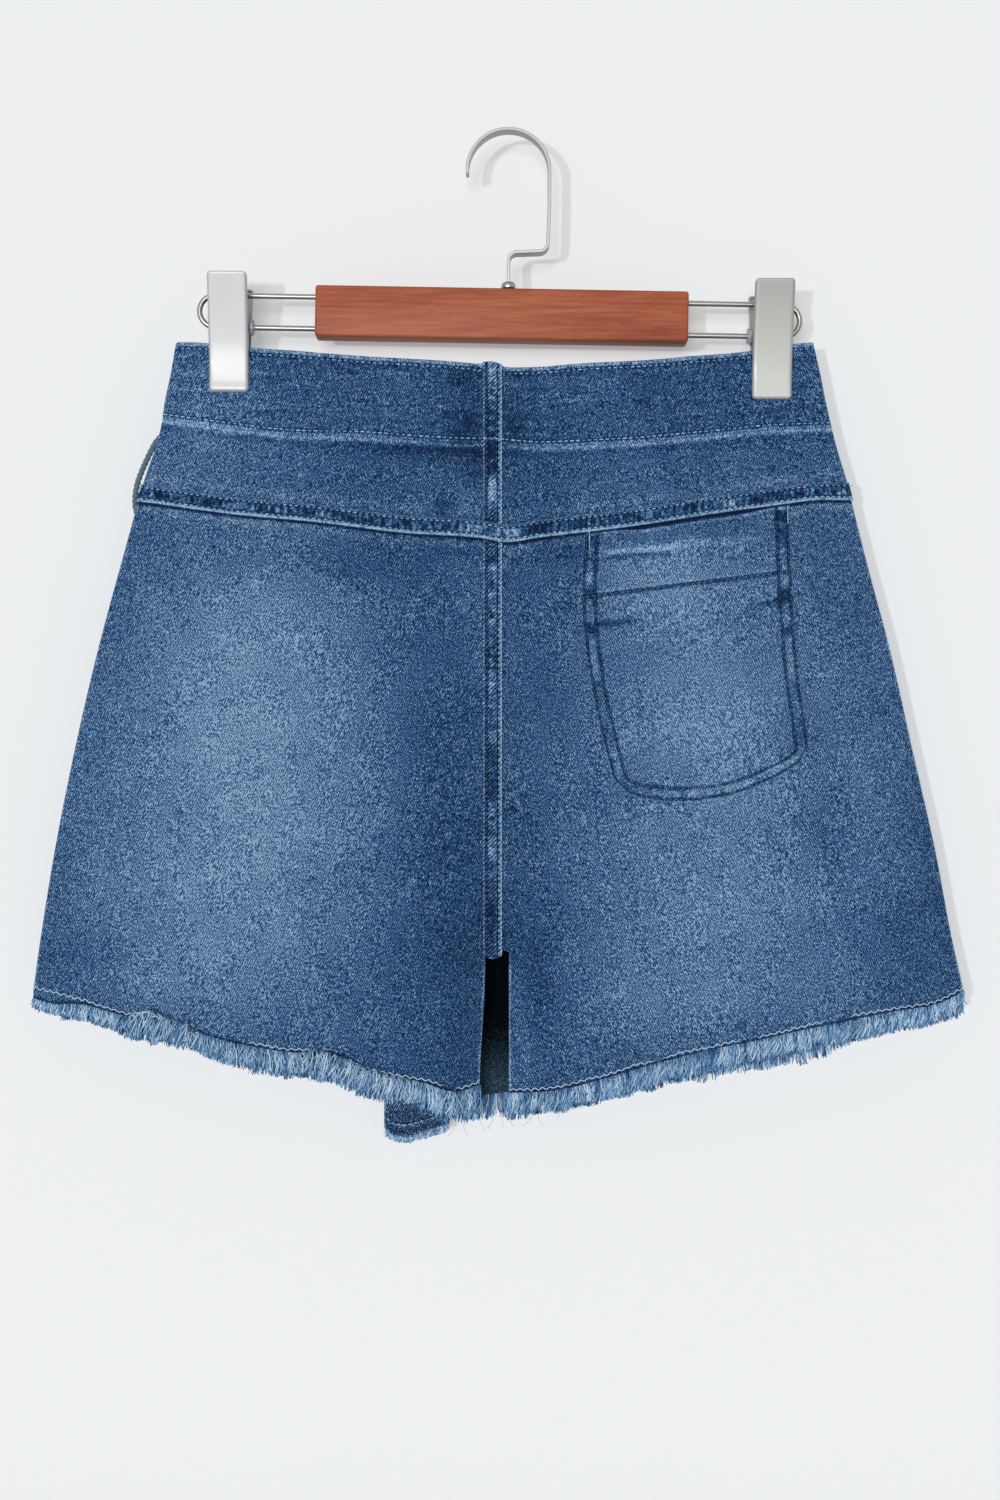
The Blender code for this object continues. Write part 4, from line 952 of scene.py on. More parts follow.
def make_back(stuff):
    yoke_top = shifted(band_seam, -0.05)
    yoke_bottom = shifted(yoke_seam, 0.5 * FELL_WIDTH + SEAM_GAP)
    leg_top = shifted(yoke_seam, 0.5 * FELL_WIDTH)
    lowered_hem = lambda x: curve(HEM_LEFT)(x) - end_drop(x)
    halves = {
        "left": (left_inner, CENTRE_LEFT, lowered_hem, lambda inner: (left_side, inner)),
        "right": (right_inner, CENTRE_RIGHT, curve(HEM_RIGHT), lambda inner: (inner, right_side)),
    }
    for side, (inner, line, hem, sides) in halves.items():
        of = lambda key: (stuff[f"{key} {side}"], stuff["inside"])
        cloth(
            f"waistband_back_{side}_cloth", "denim_band",
            Edges(*sides(inner), arched_waist, band_seam), even(190, 1.4), even(46, 1.2),
            back_band_outside, back_inside, of("band"), dress_band,
            rounding=1.1, butted=3,
        )
        cloth(
            f"yoke_back_{side}_cloth", "denim", Edges(*sides(inner), yoke_top, yoke_bottom),
            even(205, 1.8), even(56, 1.7), back_outside, back_inside, of("yoke"), dress_yoke,
            butted=2,
        )
        edge = leg_edge(inner)
        whole = Edges(*sides(level(line)), leg_top, hem)
        cloth(
            f"leg_back_{side}_cloth", "denim", Edges(*sides(edge), leg_top, hem), even(256, 2.4),
            np.sort([*even(312, 2.6, LEG_TOP_RIM), *CROTCH_ROWS]), back_outside, back_inside,
            of("leg"), dress_leg, points=beside_gap(whole, edge, line),
        )


def strip_lift(share, along, seed):
    """A fell's rolled edges, its two stitch grooves and its uneven gathers, outwards."""
    grooves = ridge(share, 0.2, 0.06) + ridge(share, 0.83, 0.06)
    gathers = 0.30 * uneven(along, 6.8, seed) + 0.18 * uneven(along, 3.0, seed + 1)
    return gathers - 0.42 * grooves


def dress_across(x, z, distances):
    below = distances[3]
    share = below / FELL_WIDTH
    between = ramp(share, 0.2, 0.3) * ramp(share, 0.82, 0.72)
    near_centre = ramp(x, -35, -31) * ramp(x, 14, -1)
    patchy = 0.09 * uneven(x, 14, 54) + 0.05 * uneven(x, 5, 56)
    patchy = patchy + 0.26 * near_centre - 0.14 * ramp(x, 4, 12) * ramp(x, 60, 30)
    wash = WASH_BASE + 0.03 + 0.4 * mounds(FADES, x, z) + patchy * between
    # Painted shade along the strip's lower edge over the pocket's open mouth.
    wash = wash - 0.16 * mouth(x) * ridge(below, 0.6, 1.2)
    return wash, 0 * x, x, strip_lift(share, x, 51)


# Light and dark places down the centre strip: height, half length and how much lighter.
STRIP_MARKS = numbers(
    "-141 10 .36, -206 9 .36, -250 9 .288, -268 16 .14, -400 12 .2, -330 16 .16, -243 3 -.3,"
    "-372 10 -.16, -300 9 -.1, -440 16 -.12"
)


def dress_down(x, z, distances):
    left, right, above, below = distances
    share = left / (STRIP_RIGHT - STRIP_LEFT)
    between = ramp(share, 0.12, 0.24) * ramp(share, 0.84, 0.74)
    dim = 0.15 * ramp(z, -152, -160) + 0.2 * ramp(z, -174, -180)
    light = sum(lift * ridge(z, place, width) for place, width, lift in STRIP_MARKS)
    light = light - dim * ramp(z, -198, -192) + 0.08 * uneven(z, 9, 58) + 0.1 * uneven(z, 4, 59)
    wash = WASH_BASE + 0.02 + light * between + 0.2 * ridge(above, 0.5, 2.0) * ramp(z, -150, -140)
    return wash, 0 * x, z, strip_lift(share, z, 55)


def round_end(x):
    """The centre strip's rounded lower end, above the crotch."""
    half = 0.5 * (STRIP_RIGHT - STRIP_LEFT)
    off = np.clip(np.abs(x - STRIP_LEFT - half) / half, 0, 1)
    return CROTCH - 1.2 + 3.6 * (1 - np.sqrt(1 - off**2))


def make_seams(stuff):
    """The folded strips of the flat-felled seams."""
    lie = shifted(back_skin, -0.15)
    top = shifted(lie, -0.45 - FELL_CLOTH)
    upper_edge = shifted(yoke_seam, FELL_WIDTH)
    narrow = even(FELL_WIDTH, 0.75, RIM[:4], RIM[:4])
    runs = {
        "left": (shifted(left_side, -0.6), level(CENTRE_RIGHT - SEAM_GAP)),
        "right": (level(CENTRE_RIGHT), shifted(right_side, 0.8)),
    }
    for side, ends in runs.items():
        cloth(
            f"seam_yoke_{side}_fell", "denim_seam", Edges(*ends, upper_edge, yoke_seam),
            even(205, 1.0), narrow, top, lie, (stuff["fell"], stuff["inside"]), dress_across,
        )
    runs = {
        "upper": (shifted(arched_waist, 0.5), shifted(upper_edge, SEAM_GAP), 90, 0.091),
        "lower": (shifted(yoke_seam, -0.4), round_end, 234, 0.235),
    }
    for name, (start, end, length, flat) in runs.items():
        cloth(
            f"seam_centre_{name}_fell", "denim_seam",
            Edges(level(STRIP_LEFT), level(STRIP_RIGHT), start, end), narrow, even(length, 1.0),
            top, lie, (stuff["fell down"], stuff["inside"]), dress_down,
        )


pocket_edges = Edges(
    curve(POCKET_SIDES, "left", "z"), curve(POCKET_SIDES, "right", "z"),
    lambda x: yoke_seam(x) - POCKET_TUCK - 1.5 * mouth(x), curve(POCKET_BOTTOM),
)


def pocket_inward(x, z):
    left, right, _, below = pocket_edges.distances(x, z)
    return np.minimum(np.minimum(left, right), below)


def cross_row(x):
    """The row of stitching straight across the pocket."""
    return -264.7 + 0.124 * (x - 38.2)


def dress_pocket(x, z, distances):
    left, right, _, below = distances
    inside = pocket_inward(x, z)
    along = np.where(below < np.minimum(left, right), x, z)
    between = ramp(inside, 0.4, 2.2) * ramp(inside, 9.5, 6.8)
    gathers = uneven(along, 7.5, 61) + 0.6 * uneven(along, 3.4, 62)
    upper = 0.3 + 0.7 * ramp(z, -330, -260)
    wash = back_wash(x, z) + (0.26 * gathers * upper - 0.03) * between
    # The hem's fold shows through: lighter along the top of its ridge, part wear and part painted
    # highlight, with painted shade below it.
    fold = -238.6 + 0.09 * (x - 60) + 0.8 * uneven(x, 12, 63)
    here = ramp(x, 50, 58) * (1 - 0.45 * ramp(x, 84, 120)) * ramp(x, 146, 130)
    hem = 0.32 * ridge(z, fold, 1.6) - 0.34 * ridge(z, fold - 3.0, 1.4) * ramp(x, 96, 76)
    hem = hem - 0.1 * ramp(z, fold + 1.5, fold + 3.5)
    dip = 0.14 * ridge(z, -228 + 0.1 * (x - 60), 4.0) * uneven(x, 13, 64)
    wash = wash + here * (hem + dip) + 0.02 * ramp(inside, 8, 12)
    # Painted shade along two small creases.
    for x_crease, z_crease, slope in ((153, -266, 0.22), (58, -279, 0.1)):
        line = z_crease + slope * (x - x_crease)
        wash = wash - 0.46 * ridge(z, line, 1.6) * ridge(x, x_crease, 15)
    lift = leg_lift(x, z) + 0.22 * between * gathers * upper + 0.35 * here * ridge(z, fold, 2.0)
    return wash, 0 * x, along, lift


def make_pocket(stuff):
    """The patch pocket, sewn flat with two rows round its edge."""
    lie = shifted(back_outside, -0.1)

    def outside(x, z):
        thick = POCKET_THIN + (1 - POCKET_THIN) * ramp(pocket_inward(x, z), 0, 3.0)
        return lie(x, z) - 0.25 - POCKET_CLOTH * thick

    cloth(
        "pocket_back_cloth", "denim", pocket_edges, even(120, 1.7), even(166, 1.7), outside, lie,
        (stuff["pocket"], stuff["inside"]), dress_pocket,
        lines={"cross": lambda x, z: z - cross_row(x)},
    )


def make_front(stuff):
    cloth(
        "waistband_front_cloth", "denim_band",
        Edges(left_side, right_side, shifted(waist, -FRONT_WAIST_DROP), band_seam),
        even(375, 3.6), even(46, 2.4), front_inside, front_band_outside,
        (stuff["band left"], stuff["inside"]), dress_front_band,
        back_side=False, rounding=1.1,
    )
    halves = {
        "left": (left_side, left_inner, HEM_LEFT, 81),
        "right": (right_inner, right_side, HEM_RIGHT, 84),
    }
    for side, (left, right, hem, seed) in halves.items():
        hem = shifted(curve(hem), -FRONT_DROP)
        cloth(
            f"leg_front_{side}_cloth", "denim",
            Edges(left, right, shifted(band_seam, -2 * SEAM_GAP), hem), even(256, 5.2),
            even(368, 5.2), front_inside, front_outside, (stuff["plain"], stuff["flap inside"]),
            plain_dress(seed), back_side=False,
        )


def dress_flap(x, z, distances):
    left, right, above, below = distances
    wash, wear, along, lift = plain_dress(91)(x, z, distances)
    corner = ramp(x, -30, -36)
    wear = wear + 0.7 * ridge(below, 0.6, 1.2) * corner + 0.3 * ridge(left, 0.2, 1.0)
    return wash - 0.12 * corner, wear, np.where(below < left, x, z), 0.6 * lift * ramp(left, 0, 8)


def dress_facing(x, z, distances):
    left, right, above, below = distances
    wash = 0.26 + 0.10 * uneven(z + 0.5 * x, 6, 95) + 0.12 * ridge(z, -551 + 0.2 * (x + 60), 2.4)
    wash = wash + 0.05 * ramp(below, 7.5, 10)
    lift = 0.3 * uneven(x + z, 5, 96) * ramp(left, 0, 3) - 0.3 * ridge(below, 8.4, 0.8)
    return wash, 0 * x, np.where(below < left, x, z), lift


def make_flap(stuff):
    """The wrap flap and the facing turned back along its free edge."""
    hem, edge, top = curve(FLAP_HEM), level(FLAP_EDGE), shifted(band_seam, -3 * SEAM_GAP)
    width = LEVELS["right"].max() - FLAP_INSET - FLAP_EDGE
    cloth(
        "flap_front_cloth", "denim", Edges(edge, shifted(right_side, -FLAP_INSET), top, hem),
        even(width, 5.2, FLAP_RIM), even(400, 5.0), flap_inside, flap_outside,
        (stuff["plain"], stuff["flap inside"]), dress_flap, back_side=False,
    )
    lie = shifted(flap_inside, -0.2)
    cloth(
        "flap_facing_cloth", "denim_facing",
        Edges(edge, level(FACING_END), top, shifted(hem, FACING_LIFT)), even(37, 1.8),
        even(395, 3.6), shifted(lie, -0.4 - FACING_CLOTH), lie, (stuff["facing"], stuff["inside"]),
        dress_facing,
    )


# ---------------------------------------------------------------- geometry node trees


def grow(name, slot, nodes, points, material, attributes={}, stands=False, **values):
    """A mesh grown by a node tree from a line of points that carry attributes."""
    mesh = bpy.data.meshes.new(name)
    edges = [(i, i + 1) for i in range(len(points) - 1)]
    mesh.from_pydata((np.asarray(points) * MM).tolist(), edges, [])
    set_values(mesh, attributes)
    seedling = link(name + "_line", mesh)
    modifier = seedling.modifiers.new(nodes.tree.name, "NODES")
    modifier.node_group = nodes.tree
    sockets = {s.name: s.identifier for s in nodes.tree.interface.items_tree if s.in_out == "INPUT"}
    for key, value in {**values, "Material": material}.items():
        modifier[sockets[key]] = value
    ready = seedling.evaluated_get(bpy.context.evaluated_depsgraph_get())
    grown = bpy.data.meshes.new_from_object(ready)
    bpy.data.objects.remove(seedling, do_unlink=True)
    grown.materials.clear()
    grown.materials.append(material)
    own(link(name, grown), slot, stands)


class Grower(Nodes):
    """A tree that makes a mesh from a line of points."""

    def __init__(self, name, sizes, whole="Seed"):
        inputs = {"Geometry": "Line", "Float": sizes, "Int": whole, "Material": "Material"}
        ends = new_group("GeometryNodeTree", name, inputs, {"Geometry": "Mesh"})
        nodes, self.given, self.out = ends
        super().__init__(nodes.tree)
        self.curve = self.add("MeshToCurve", {0: self.given["Line"]})[0]

    def chance(self, low, high, offset=0, of=None):
        """A random number for each point, or for each value of `of`."""
        seed = self.given["Seed"]
        inputs = {2: low, 3: high, "Seed": self.maths("ADD", seed, float(offset))}
        if of is not None:
            inputs["ID"] = of
        return self.add("RandomValue", inputs)[1]

    def named(self, name):
        return self.add("InputNamedAttribute", {"Name": name}, data_type="FLOAT")["Attribute"]

    def keep(self, geometry, name, value, domain="POINT"):
        inputs = {"Geometry": geometry, "Name": name, "Value": value}
        return self.add("StoreNamedAttribute", inputs, data_type="FLOAT", domain=domain)[0]

    def resample(self, curve, **values):
        return self.add("ResampleCurve", {"Curve": curve, **values}, mode=[*values][0].upper())[0]

    def move(self, geometry, x, y, z):
        offset = self.vector(x, y, z)
        return self.add("SetPosition", {"Geometry": geometry, "Offset": offset})[0]

    def spin(self, curve, sides, radius, **values):
        """The curve as a closed round thread."""
        section = self.add("CurvePrimitiveCircle", {"Resolution": sides, "Radius": radius})[0]
        body = {"Curve": curve, "Profile Curve": section, "Fill Caps": True, **values}
        return self.add("CurveToMesh", body)[0]

    def finish(self, geometry):
        real = self.add("RealizeInstances", {0: geometry})[0]
        smooth_faces = self.add("SetShadeSmooth", {0: real})[0]
        inputs = {"Geometry": smooth_faces, "Material": self.given["Material"]}
        self.set(self.out, {"Mesh": self.add("SetMaterial", inputs)[0]})
        return self


def make_stitch_tree():
    """Stitches of a given length and gap laid end to end along a line."""
    nodes = Grower("stitch row", "Length Gap Thread")
    given = nodes.given
    pitch = nodes.maths("ADD", given["Length"], given["Gap"])
    even_curve = nodes.resample(nodes.curve, Length=pitch)
    bead = nodes.add("MeshUVSphere", {"Segments": 6, "Rings": 5, "Radius": 0.5})[0]
    tangent = nodes.add("InputTangent")[0]
    turn = nodes.add("AlignRotationToVector", {"Vector": tangent}, axis="X")[0]
    width = nodes.product(given["Thread"], 2.0)
    size = nodes.vector(nodes.product(nodes.chance(0.84, 1.06), given["Length"]), width, width)
    inputs = {"Points": even_curve, "Instance": bead, "Rotation": turn, "Scale": size}
    laid = nodes.add("InstanceOnPoints", inputs)[0]
    return nodes.finish(nodes.keep(laid, "shade", nodes.chance(0.25, 0.85), "INSTANCE"))


def make_zigzag_tree():
    """A thread that swings from side to side of a line, as a zigzag machine stitch does."""
    nodes = Grower("zigzag row", "Pitch Swing Thread")
    given = nodes.given
    half = nodes.product(given["Pitch"], 0.5)
    even_curve = nodes.resample(nodes.curve, Length=half)
    odd = nodes.maths("MODULO", nodes.add("InputIndex")[0], 2.0)
    side = nodes.maths("MULTIPLY_ADD", odd, 2.0, -1.0)
    rise = nodes.product(side, nodes.chance(0.5, 1.3), given["Swing"])
    swung = nodes.move(even_curve, 0.0, 0.0, rise)
    finer = nodes.resample(swung, Length=nodes.product(half, 0.34))
    return nodes.finish(nodes.keep(nodes.spin(finer, 5, given["Thread"]), "shade", 0.6))


def make_fray_tree():
    """Loose yarn ends that hang from a line and curl, each in its own way.

    The line's points carry `reach` (how long the yarns are), `curl` (how far they stray) and
    `puff` (how far they stand out). Yarns of one clump share a lean, a length and a shade.
    """
    nodes = Grower("frayed yarns", "Yarn Depth Rise Outward Clump Tone", "Count Joints Seed")
    given, maths, mul = nodes.given, nodes.maths, nodes.product
    roots = nodes.resample(nodes.curve, Count=given["Count"])
    roots = nodes.add("CurveToPoints", {"Curve": roots}, mode="EVALUATED")[0]
    roots = nodes.keep(roots, "yarn", nodes.add("InputIndex")[0])
    place = {0: nodes.add("InputPosition")[0], 3: maths("DIVIDE", 1.0, given["Clump"])}
    pattern = {
        "Vector": nodes.add("VectorMath", place, operation="SCALE")[0],
        "W": mul(given["Seed"], 7.3), "Scale": 1.0, "Detail": 1.0,
    }
    clumps = nodes.add("TexNoise", pattern, noise_dimensions="4D")["Color"]
    clumps = nodes.add("SeparateXYZ", {0: clumps})
    for name, axis, span in (("sway", "X", 1.3), ("extent", "Y", 0.35), ("tone", "Z", 1.6)):
        roots = nodes.keep(roots, name, mul(maths("SUBTRACT", clumps[axis], 0.5), span))
    roots = nodes.move(
        roots, nodes.chance(-0.0006, 0.0006, 1), mul(nodes.chance(-1.0, 1.0, 2), given["Depth"]),
        mul(nodes.chance(0.0, 1.0, 3), given["Rise"]),
    )
    strand = nodes.add("CurvePrimitiveLine", {"Start": (0, 0, 0), "End": (0, 0, -1.0)})[0]
    strand = nodes.resample(strand, Count=given["Joints"])
    ragged = mul(nodes.chance(0.93, 1.04, 4), maths("ADD", nodes.named("extent"), 1.0))
    size = nodes.vector(1.0, 1.0, mul(nodes.named("reach"), ragged))
    planted = nodes.add("InstanceOnPoints", {"Points": roots, "Instance": strand, "Scale": size})[0]
    yarns = nodes.add("RealizeInstances", {0: planted})[0]
    share = nodes.add("SplineParameter")["Factor"]
    who, reach, curl, puff = (nodes.named(name) for name in ("yarn", "reach", "curl", "puff"))
    chance = partial(nodes.chance, of=who)
    angle = maths("MULTIPLY_ADD", share, chance(4.0, 9.0, 6), chance(0.0, 6.28, 5))
    stray = mul(maths("POWER", share, 0.8), curl, chance(0.3, 1.3, 7))
    lean = mul(share, reach, maths("ADD", chance(-0.14, 0.14, 8), nodes.named("sway")))
    arch = maths("SINE", mul(share, math.pi))
    stand = mul(arch, puff, chance(0.2, 1.0, 9))
    deep = maths("MULTIPLY_ADD", stand, given["Outward"], mul(maths("COSINE", angle), stray, 0.6))
    wave = mul(maths("SINE", mul(angle, 1.7)), stray, 0.5)
    yarns = nodes.move(
        yarns, maths("MULTIPLY_ADD", maths("SINE", angle), stray, lean), deep,
        maths("MULTIPLY_ADD", stand, 0.9, wave),
    )
    thin = maths("MULTIPLY_ADD", maths("POWER", share, 4.0), -0.15, 1.0)
    thick = mul(thin, given["Yarn"], chance(0.7, 1.2, 10))
    yarns = nodes.add("SetCurveRadius", {"Curve": yarns, "Radius": thick})[0]
    arc = maths("SINE", mul(share, 2.6))
    own_tone, clump_tone = chance(-0.42, 0.42, 11), nodes.named("tone")
    tone = nodes.total(own_tone, (clump_tone, 0.5), (arc, 0.2), given["Tone"])
    yarns = nodes.keep(yarns, "shade", tone)
    return nodes.finish(nodes.spin(yarns, 3, 1.0, Scale=nodes.add("InputRadius")[0]))


# ---------------------------------------------------------------- stitching and frayed edges


def on_face(face, x, z, stand):
    """Points on a face of the skort, `stand` out towards its back."""
    x, z = np.broadcast_arrays(np.asarray(x, float), np.asarray(z, float))
    return np.stack([x, face(x, z) - stand, z], -1)


strip_face = shifted(back_skin, -0.5 - FELL_CLOTH)
pocket_face = shifted(back_outside, -0.4 - POCKET_CLOTH)


def over_strip(x, z):
    """The band's face, and the centre strip's where that lies over it."""
    on = ramp(x, STRIP_LEFT - 1.2, STRIP_LEFT + 0.3) * ramp(x, STRIP_RIGHT + 1.2, STRIP_RIGHT - 0.3)
    return back_band_outside(x, z) * (1 - on) + strip_face(x, z) * on


def make_stitching(stuff):
    tree = make_stitch_tree()

    def sew(name, line, seed, material="stitch", length=3.0, gap=0.3, thread=0.42):
        sizes = {"Length": length * MM, "Gap": gap * MM, "Thread": thread * MM}
        grow(f"stitch_{name}", "denim_seam", tree, line, stuff[material], Seed=seed, **sizes)

    x = np.linspace(-187.5, 172.0, 400)
    row = on_face(back_band_outside, x, raised_waist(x) - 3.6, 0.0)
    sew("waist_row", row, 2, length=2.5, gap=0.8, thread=0.38)
    x = np.linspace(-194.0, 180.8, 400)
    sew("band_row", on_face(over_strip, x, band_seam(x) + 2.8, 0.0), 3)
    x = np.linspace(-207.6, 193.2, 500)
    for name, rise, seed in (("lower", 2.0, 4), ("upper", 8.2, 5)):
        row = on_face(strip_face, x, yoke_seam(x) + rise, 0.05)
        sew(f"yoke_{name}_row", row, seed, length=2.4, gap=0.9, thread=0.38)
    rows = (
        ("left", STRIP_LEFT + 2.2, "dark stitch", 6),
        ("middle", STRIP_RIGHT - 3.2, "dark stitch", 13),
        ("right", STRIP_RIGHT - 1.9, "stitch", 7),
    )
    for name, across, material, seed in rows:
        row = on_face(strip_face, across, np.linspace(-136.0, CROTCH + 2.0, 500), 0.05)
        sew(f"centre_{name}_row", row, seed, material, 2.3, 1.0, 0.36)
    for seed, (name, inset) in enumerate(POCKET_ROWS.items(), 8):
        z = np.linspace(-222.0, -352.0 + 0.4 * inset, 90)
        x = np.linspace(61.0 + 0.5 * inset, 163.0 - inset, 90)
        down = np.stack([pocket_edges.left(z) + inset, z], -1)
        under = np.stack([x, pocket_edges.bottom(x) + inset], -1)
        up = np.stack([pocket_edges.right(z) - inset, z], -1)[::-1]
        x, z = eased(np.concatenate([down, under, up]), 6).T
        row = on_face(pocket_face, x, z, 0.02)
        sew(f"pocket_{name}_row", row, seed, "dark stitch", thread=0.26)
    x = np.linspace(41.0, 159.5, 120)
    row = on_face(pocket_face, x, cross_row(x), 0.0)
    sew("pocket_cross_row", row, 10, "dark stitch", thread=0.44)
    for name, x, top, bottom in (("left", 45.4, -227.0, -237.4), ("right", 157.0, -214.0, -222.0)):
        row = on_face(pocket_face, x, np.linspace(top, bottom, 8), 0.1)
        sew(f"pocket_{name}_tack", row, 12, length=2.9, gap=-1.2)
    x = np.linspace(FLAP_EDGE + 2.5, FACING_END, 40)
    sew("flap_hem_row", on_face(flap_inside, x, curve(FLAP_HEM)(x) + 8.4, 1.75), 11)


def eased(points, passes):
    """A line with its sharp turns eased."""
    line = points.copy()
    for _ in range(passes):
        line[1:-1] = 0.25 * line[:-2] + 0.5 * line[1:-1] + 0.25 * line[2:]
    return line


# Each raw hem: its edge and how much lower it is cut, its face and which way that looks, where
# its stay stitching and its fringe start and end, the fringe's length and its numbers of yarns.
HEMS = {
    "back_left": (
        HEM_LEFT, 0.0, back_outside, -1, (-269.0, -16.5), (-268.8, -16.3), FRINGE_LEFT, (1100, 900),
    ),
    "back_right": (
        HEM_RIGHT, 0.0, back_outside, -1, (0.6, 257.3), (0.4, 257.5), FRINGE_RIGHT, (1100, 900),
    ),
    "front_left": (
        HEM_LEFT, FRONT_DROP, front_outside, 1, (-269.0, -16.5), (-268.0, -16.5), FRINGE_LEFT,
        (700, 200),
    ),
    "front_right": (
        HEM_RIGHT, FRONT_DROP, front_outside, 1, (0.6, 257.3), (0.6, 257.0), FRINGE_RIGHT,
        (700, 200),
    ),
    "flap": (
        FLAP_HEM, 0.0, flap_outside, 1, (-31.0, 255.0), (-32.0, 255.0), FRINGE_FLAP, (900, 500),
    ),
}

# Where the frayed edge curls up into tufts: centre, half width and how far it stands out.
TUFTS = numbers("""
    -200 13 7, -182 7 4, -150 10 2.6, -103 18 5, -80 12 4, -62 12 3, -30 12 2.4, 20 14 1.8,
    60 26 2.2, 110 14 2.4, 150 24 1.8, 196 14 2.2""")


def make_stay_stitching(stuff):
    """The pale zigzag that stops each raw hem from fraying further."""
    tree, thread = make_zigzag_tree(), stuff["stay stitch"]
    sizes = {"Pitch": 4.4 * MM, "Swing": 0.75 * MM, "Thread": 0.3 * MM}
    for number, (name, (hem, drop, face, out, span, *_)) in enumerate(HEMS.items()):
        x = np.linspace(*span, 300)
        z = curve(hem)(x) - drop + 2.6 + 0.5 * uneven(x, 14, 100 + number)
        line = on_face(face, x, z, -0.25 * out)
        grow(f"stay_stitch_{name}", "denim_seam", tree, line, thread, Seed=number, **sizes)


def make_fringes(stuff):
    """The frayed edges: short warp ends, and curled yarns tangled over them."""
    tree = make_fray_tree()

    def fray(name, line, lengths, count, yarn, joints, depth, rise, outward, clump, seed, tone,
             material="fray", stands=False):
        """Yarns from a line; `lengths` are their reach, curl and puff along it."""
        flat = 0 * line[:, 0]
        lengths = zip(("reach", "curl", "puff"), lengths)
        attributes = {key: (flat + value) * MM for key, value in lengths}
        sizes = {"Yarn": yarn, "Depth": depth, "Rise": rise, "Clump": clump}
        grow(
            f"fringe_{name}", "fray", tree, line, stuff[material], attributes, stands, Count=count,
            Joints=joints, Outward=float(outward), Seed=seed, Tone=tone,
            **{key: value * MM for key, value in sizes.items()},
        )

    for number, (name, (hem, drop, face, out, _, span, reach, counts)) in enumerate(HEMS.items()):
        x = np.linspace(*span, 400)
        back = name.startswith("back")
        fall = end_drop(x) if name == "back_left" else 0 * x
        z = curve(hem)(x) - drop + 0.4 - fall
        line = on_face(face, x, z, 0.55 * out)
        length = curve(reach, "reach")(x) + 0.6 - 0.8 * fall
        length = length * (1 + 0.12 * uneven(x, 7, 110 + number))
        puff = sum(height * ridge(x, centre, width) for centre, width, height in TUFTS)
        puff = puff if back else 0.25 * puff
        # The ends behind get a lower tone than the curls in front: painted shade of the layer
        # behind.
        fray(
            f"{name}_ends", line, (0.92 * length, 0.7, 0.35 * puff), counts[0], 0.34, 7, 0.5, 0.0,
            out, 5.0, 200 + number, 0.24, stands=True,
        )
        line[:, 1] += out * 0.7
        if back:
            line[:, 2] += 0.9 * np.maximum(puff - 2.2, 0)
        fray(
            f"{name}_curls", line, (0.8 * length, 1.2 + 0.4 * puff, 1.0 + puff), counts[1], 0.3, 11,
            0.4, 0.3, out, 5.5, 300 + number, 0.5,
        )
    x = np.linspace(FLAP_EDGE + 1.0, FACING_END, 80)
    line = on_face(flap_inside, x, curve(FLAP_HEM)(x) + 1.4, 1.2)
    fray("flap_corner", line, (3.6, 0.8, 0), 240, 0.3, 6, 0.5, 0.6, -1, 2.5, 410, 0.5)
    x = np.linspace(-31.0, 26.0, 60)
    line = on_face(flap_outside, x, curve(FLAP_HEM)(x) - 8.0, 0.0)
    fray(
        "flap_hairs", line, (13, 3.0, 0), 9, 0.09, 12, 0.3, 0.0, 1, 9.0, 400, 0.2, "dark stitch"
    )


# ---------------------------------------------------------------- metal, wood and lace

# The angle in degrees above which an edge is rounded.
BEVEL_ANGLE = 50


def finish(name, bm, material, slot, angle=35.0, bevel=0.0, stands=True):
    """A mesh in millimetres as a smooth-shaded piece in metres, its edges rounded by `bevel`."""
    bmesh.ops.recalc_face_normals(bm, faces=bm.faces)
    bmesh.ops.scale(bm, vec=(MM, MM, MM), verts=bm.verts)
    mesh = bpy.data.meshes.new(name)
    bm.to_mesh(mesh)
    bm.free()
    mesh.shade_smooth()
    mesh.set_sharp_from_angle(angle=math.radians(angle))
    mesh.materials.append(material)
    piece = link(name, mesh)
    if bevel:
        settings = {
            "width": bevel * MM, "segments": 2, "limit_method": "ANGLE",
            "angle_limit": math.radians(BEVEL_ANGLE), "harden_normals": True,
        }
        modifier = piece.modifiers.new("rounded edges", "BEVEL")
        for key, value in settings.items():
            setattr(modifier, key, value)
    own(piece, slot, stands)
    return piece


def bridge(bm, rings, ends=True):
    """Faces between rings of points in turn, and over both ends or round to the first."""
    made = [[bm.verts.new(tuple(point)) for point in ring] for ring in rings]
    faces = []
    for a, b in zip(made, made[1:] if ends else made[1:] + made[:1]):
        for k in range(len(a)):
            n = (k + 1) % len(a)
            faces.append(bm.faces.new((a[k], a[n], b[n], b[k])))
    if ends:
        bm.faces.new(made[0])
        bm.faces.new(made[-1])
    return faces


def circle(steps):
    """The cosine and the sine of each step of a full turn."""
    turns = [2 * math.pi * k / steps for k in range(steps)]
    return [(math.cos(turn), math.sin(turn)) for turn in turns]


def unit(vectors):
    return vectors / np.linalg.norm(vectors, axis=-1, keepdims=True)


def along_line(points):
    """How far each point lies along its line."""
    return np.array([0, *np.cumsum(np.linalg.norm(np.diff(points, axis=0), axis=1))])


def smooth_route(route, spacing):
    """Points on a smooth curve through a given route, closer together at its two ends."""
    lengths = along_line(route)
    end = lengths[-1]
    steps = np.linspace(spacing, end - spacing, int(end / spacing) - 1)
    at = [0, 0.4 * spacing, 0.7 * spacing, *steps, end - 0.7 * spacing, end - 0.4 * spacing, end]
    return np.stack([smooth(at, lengths, values) for values in route.T], -1)


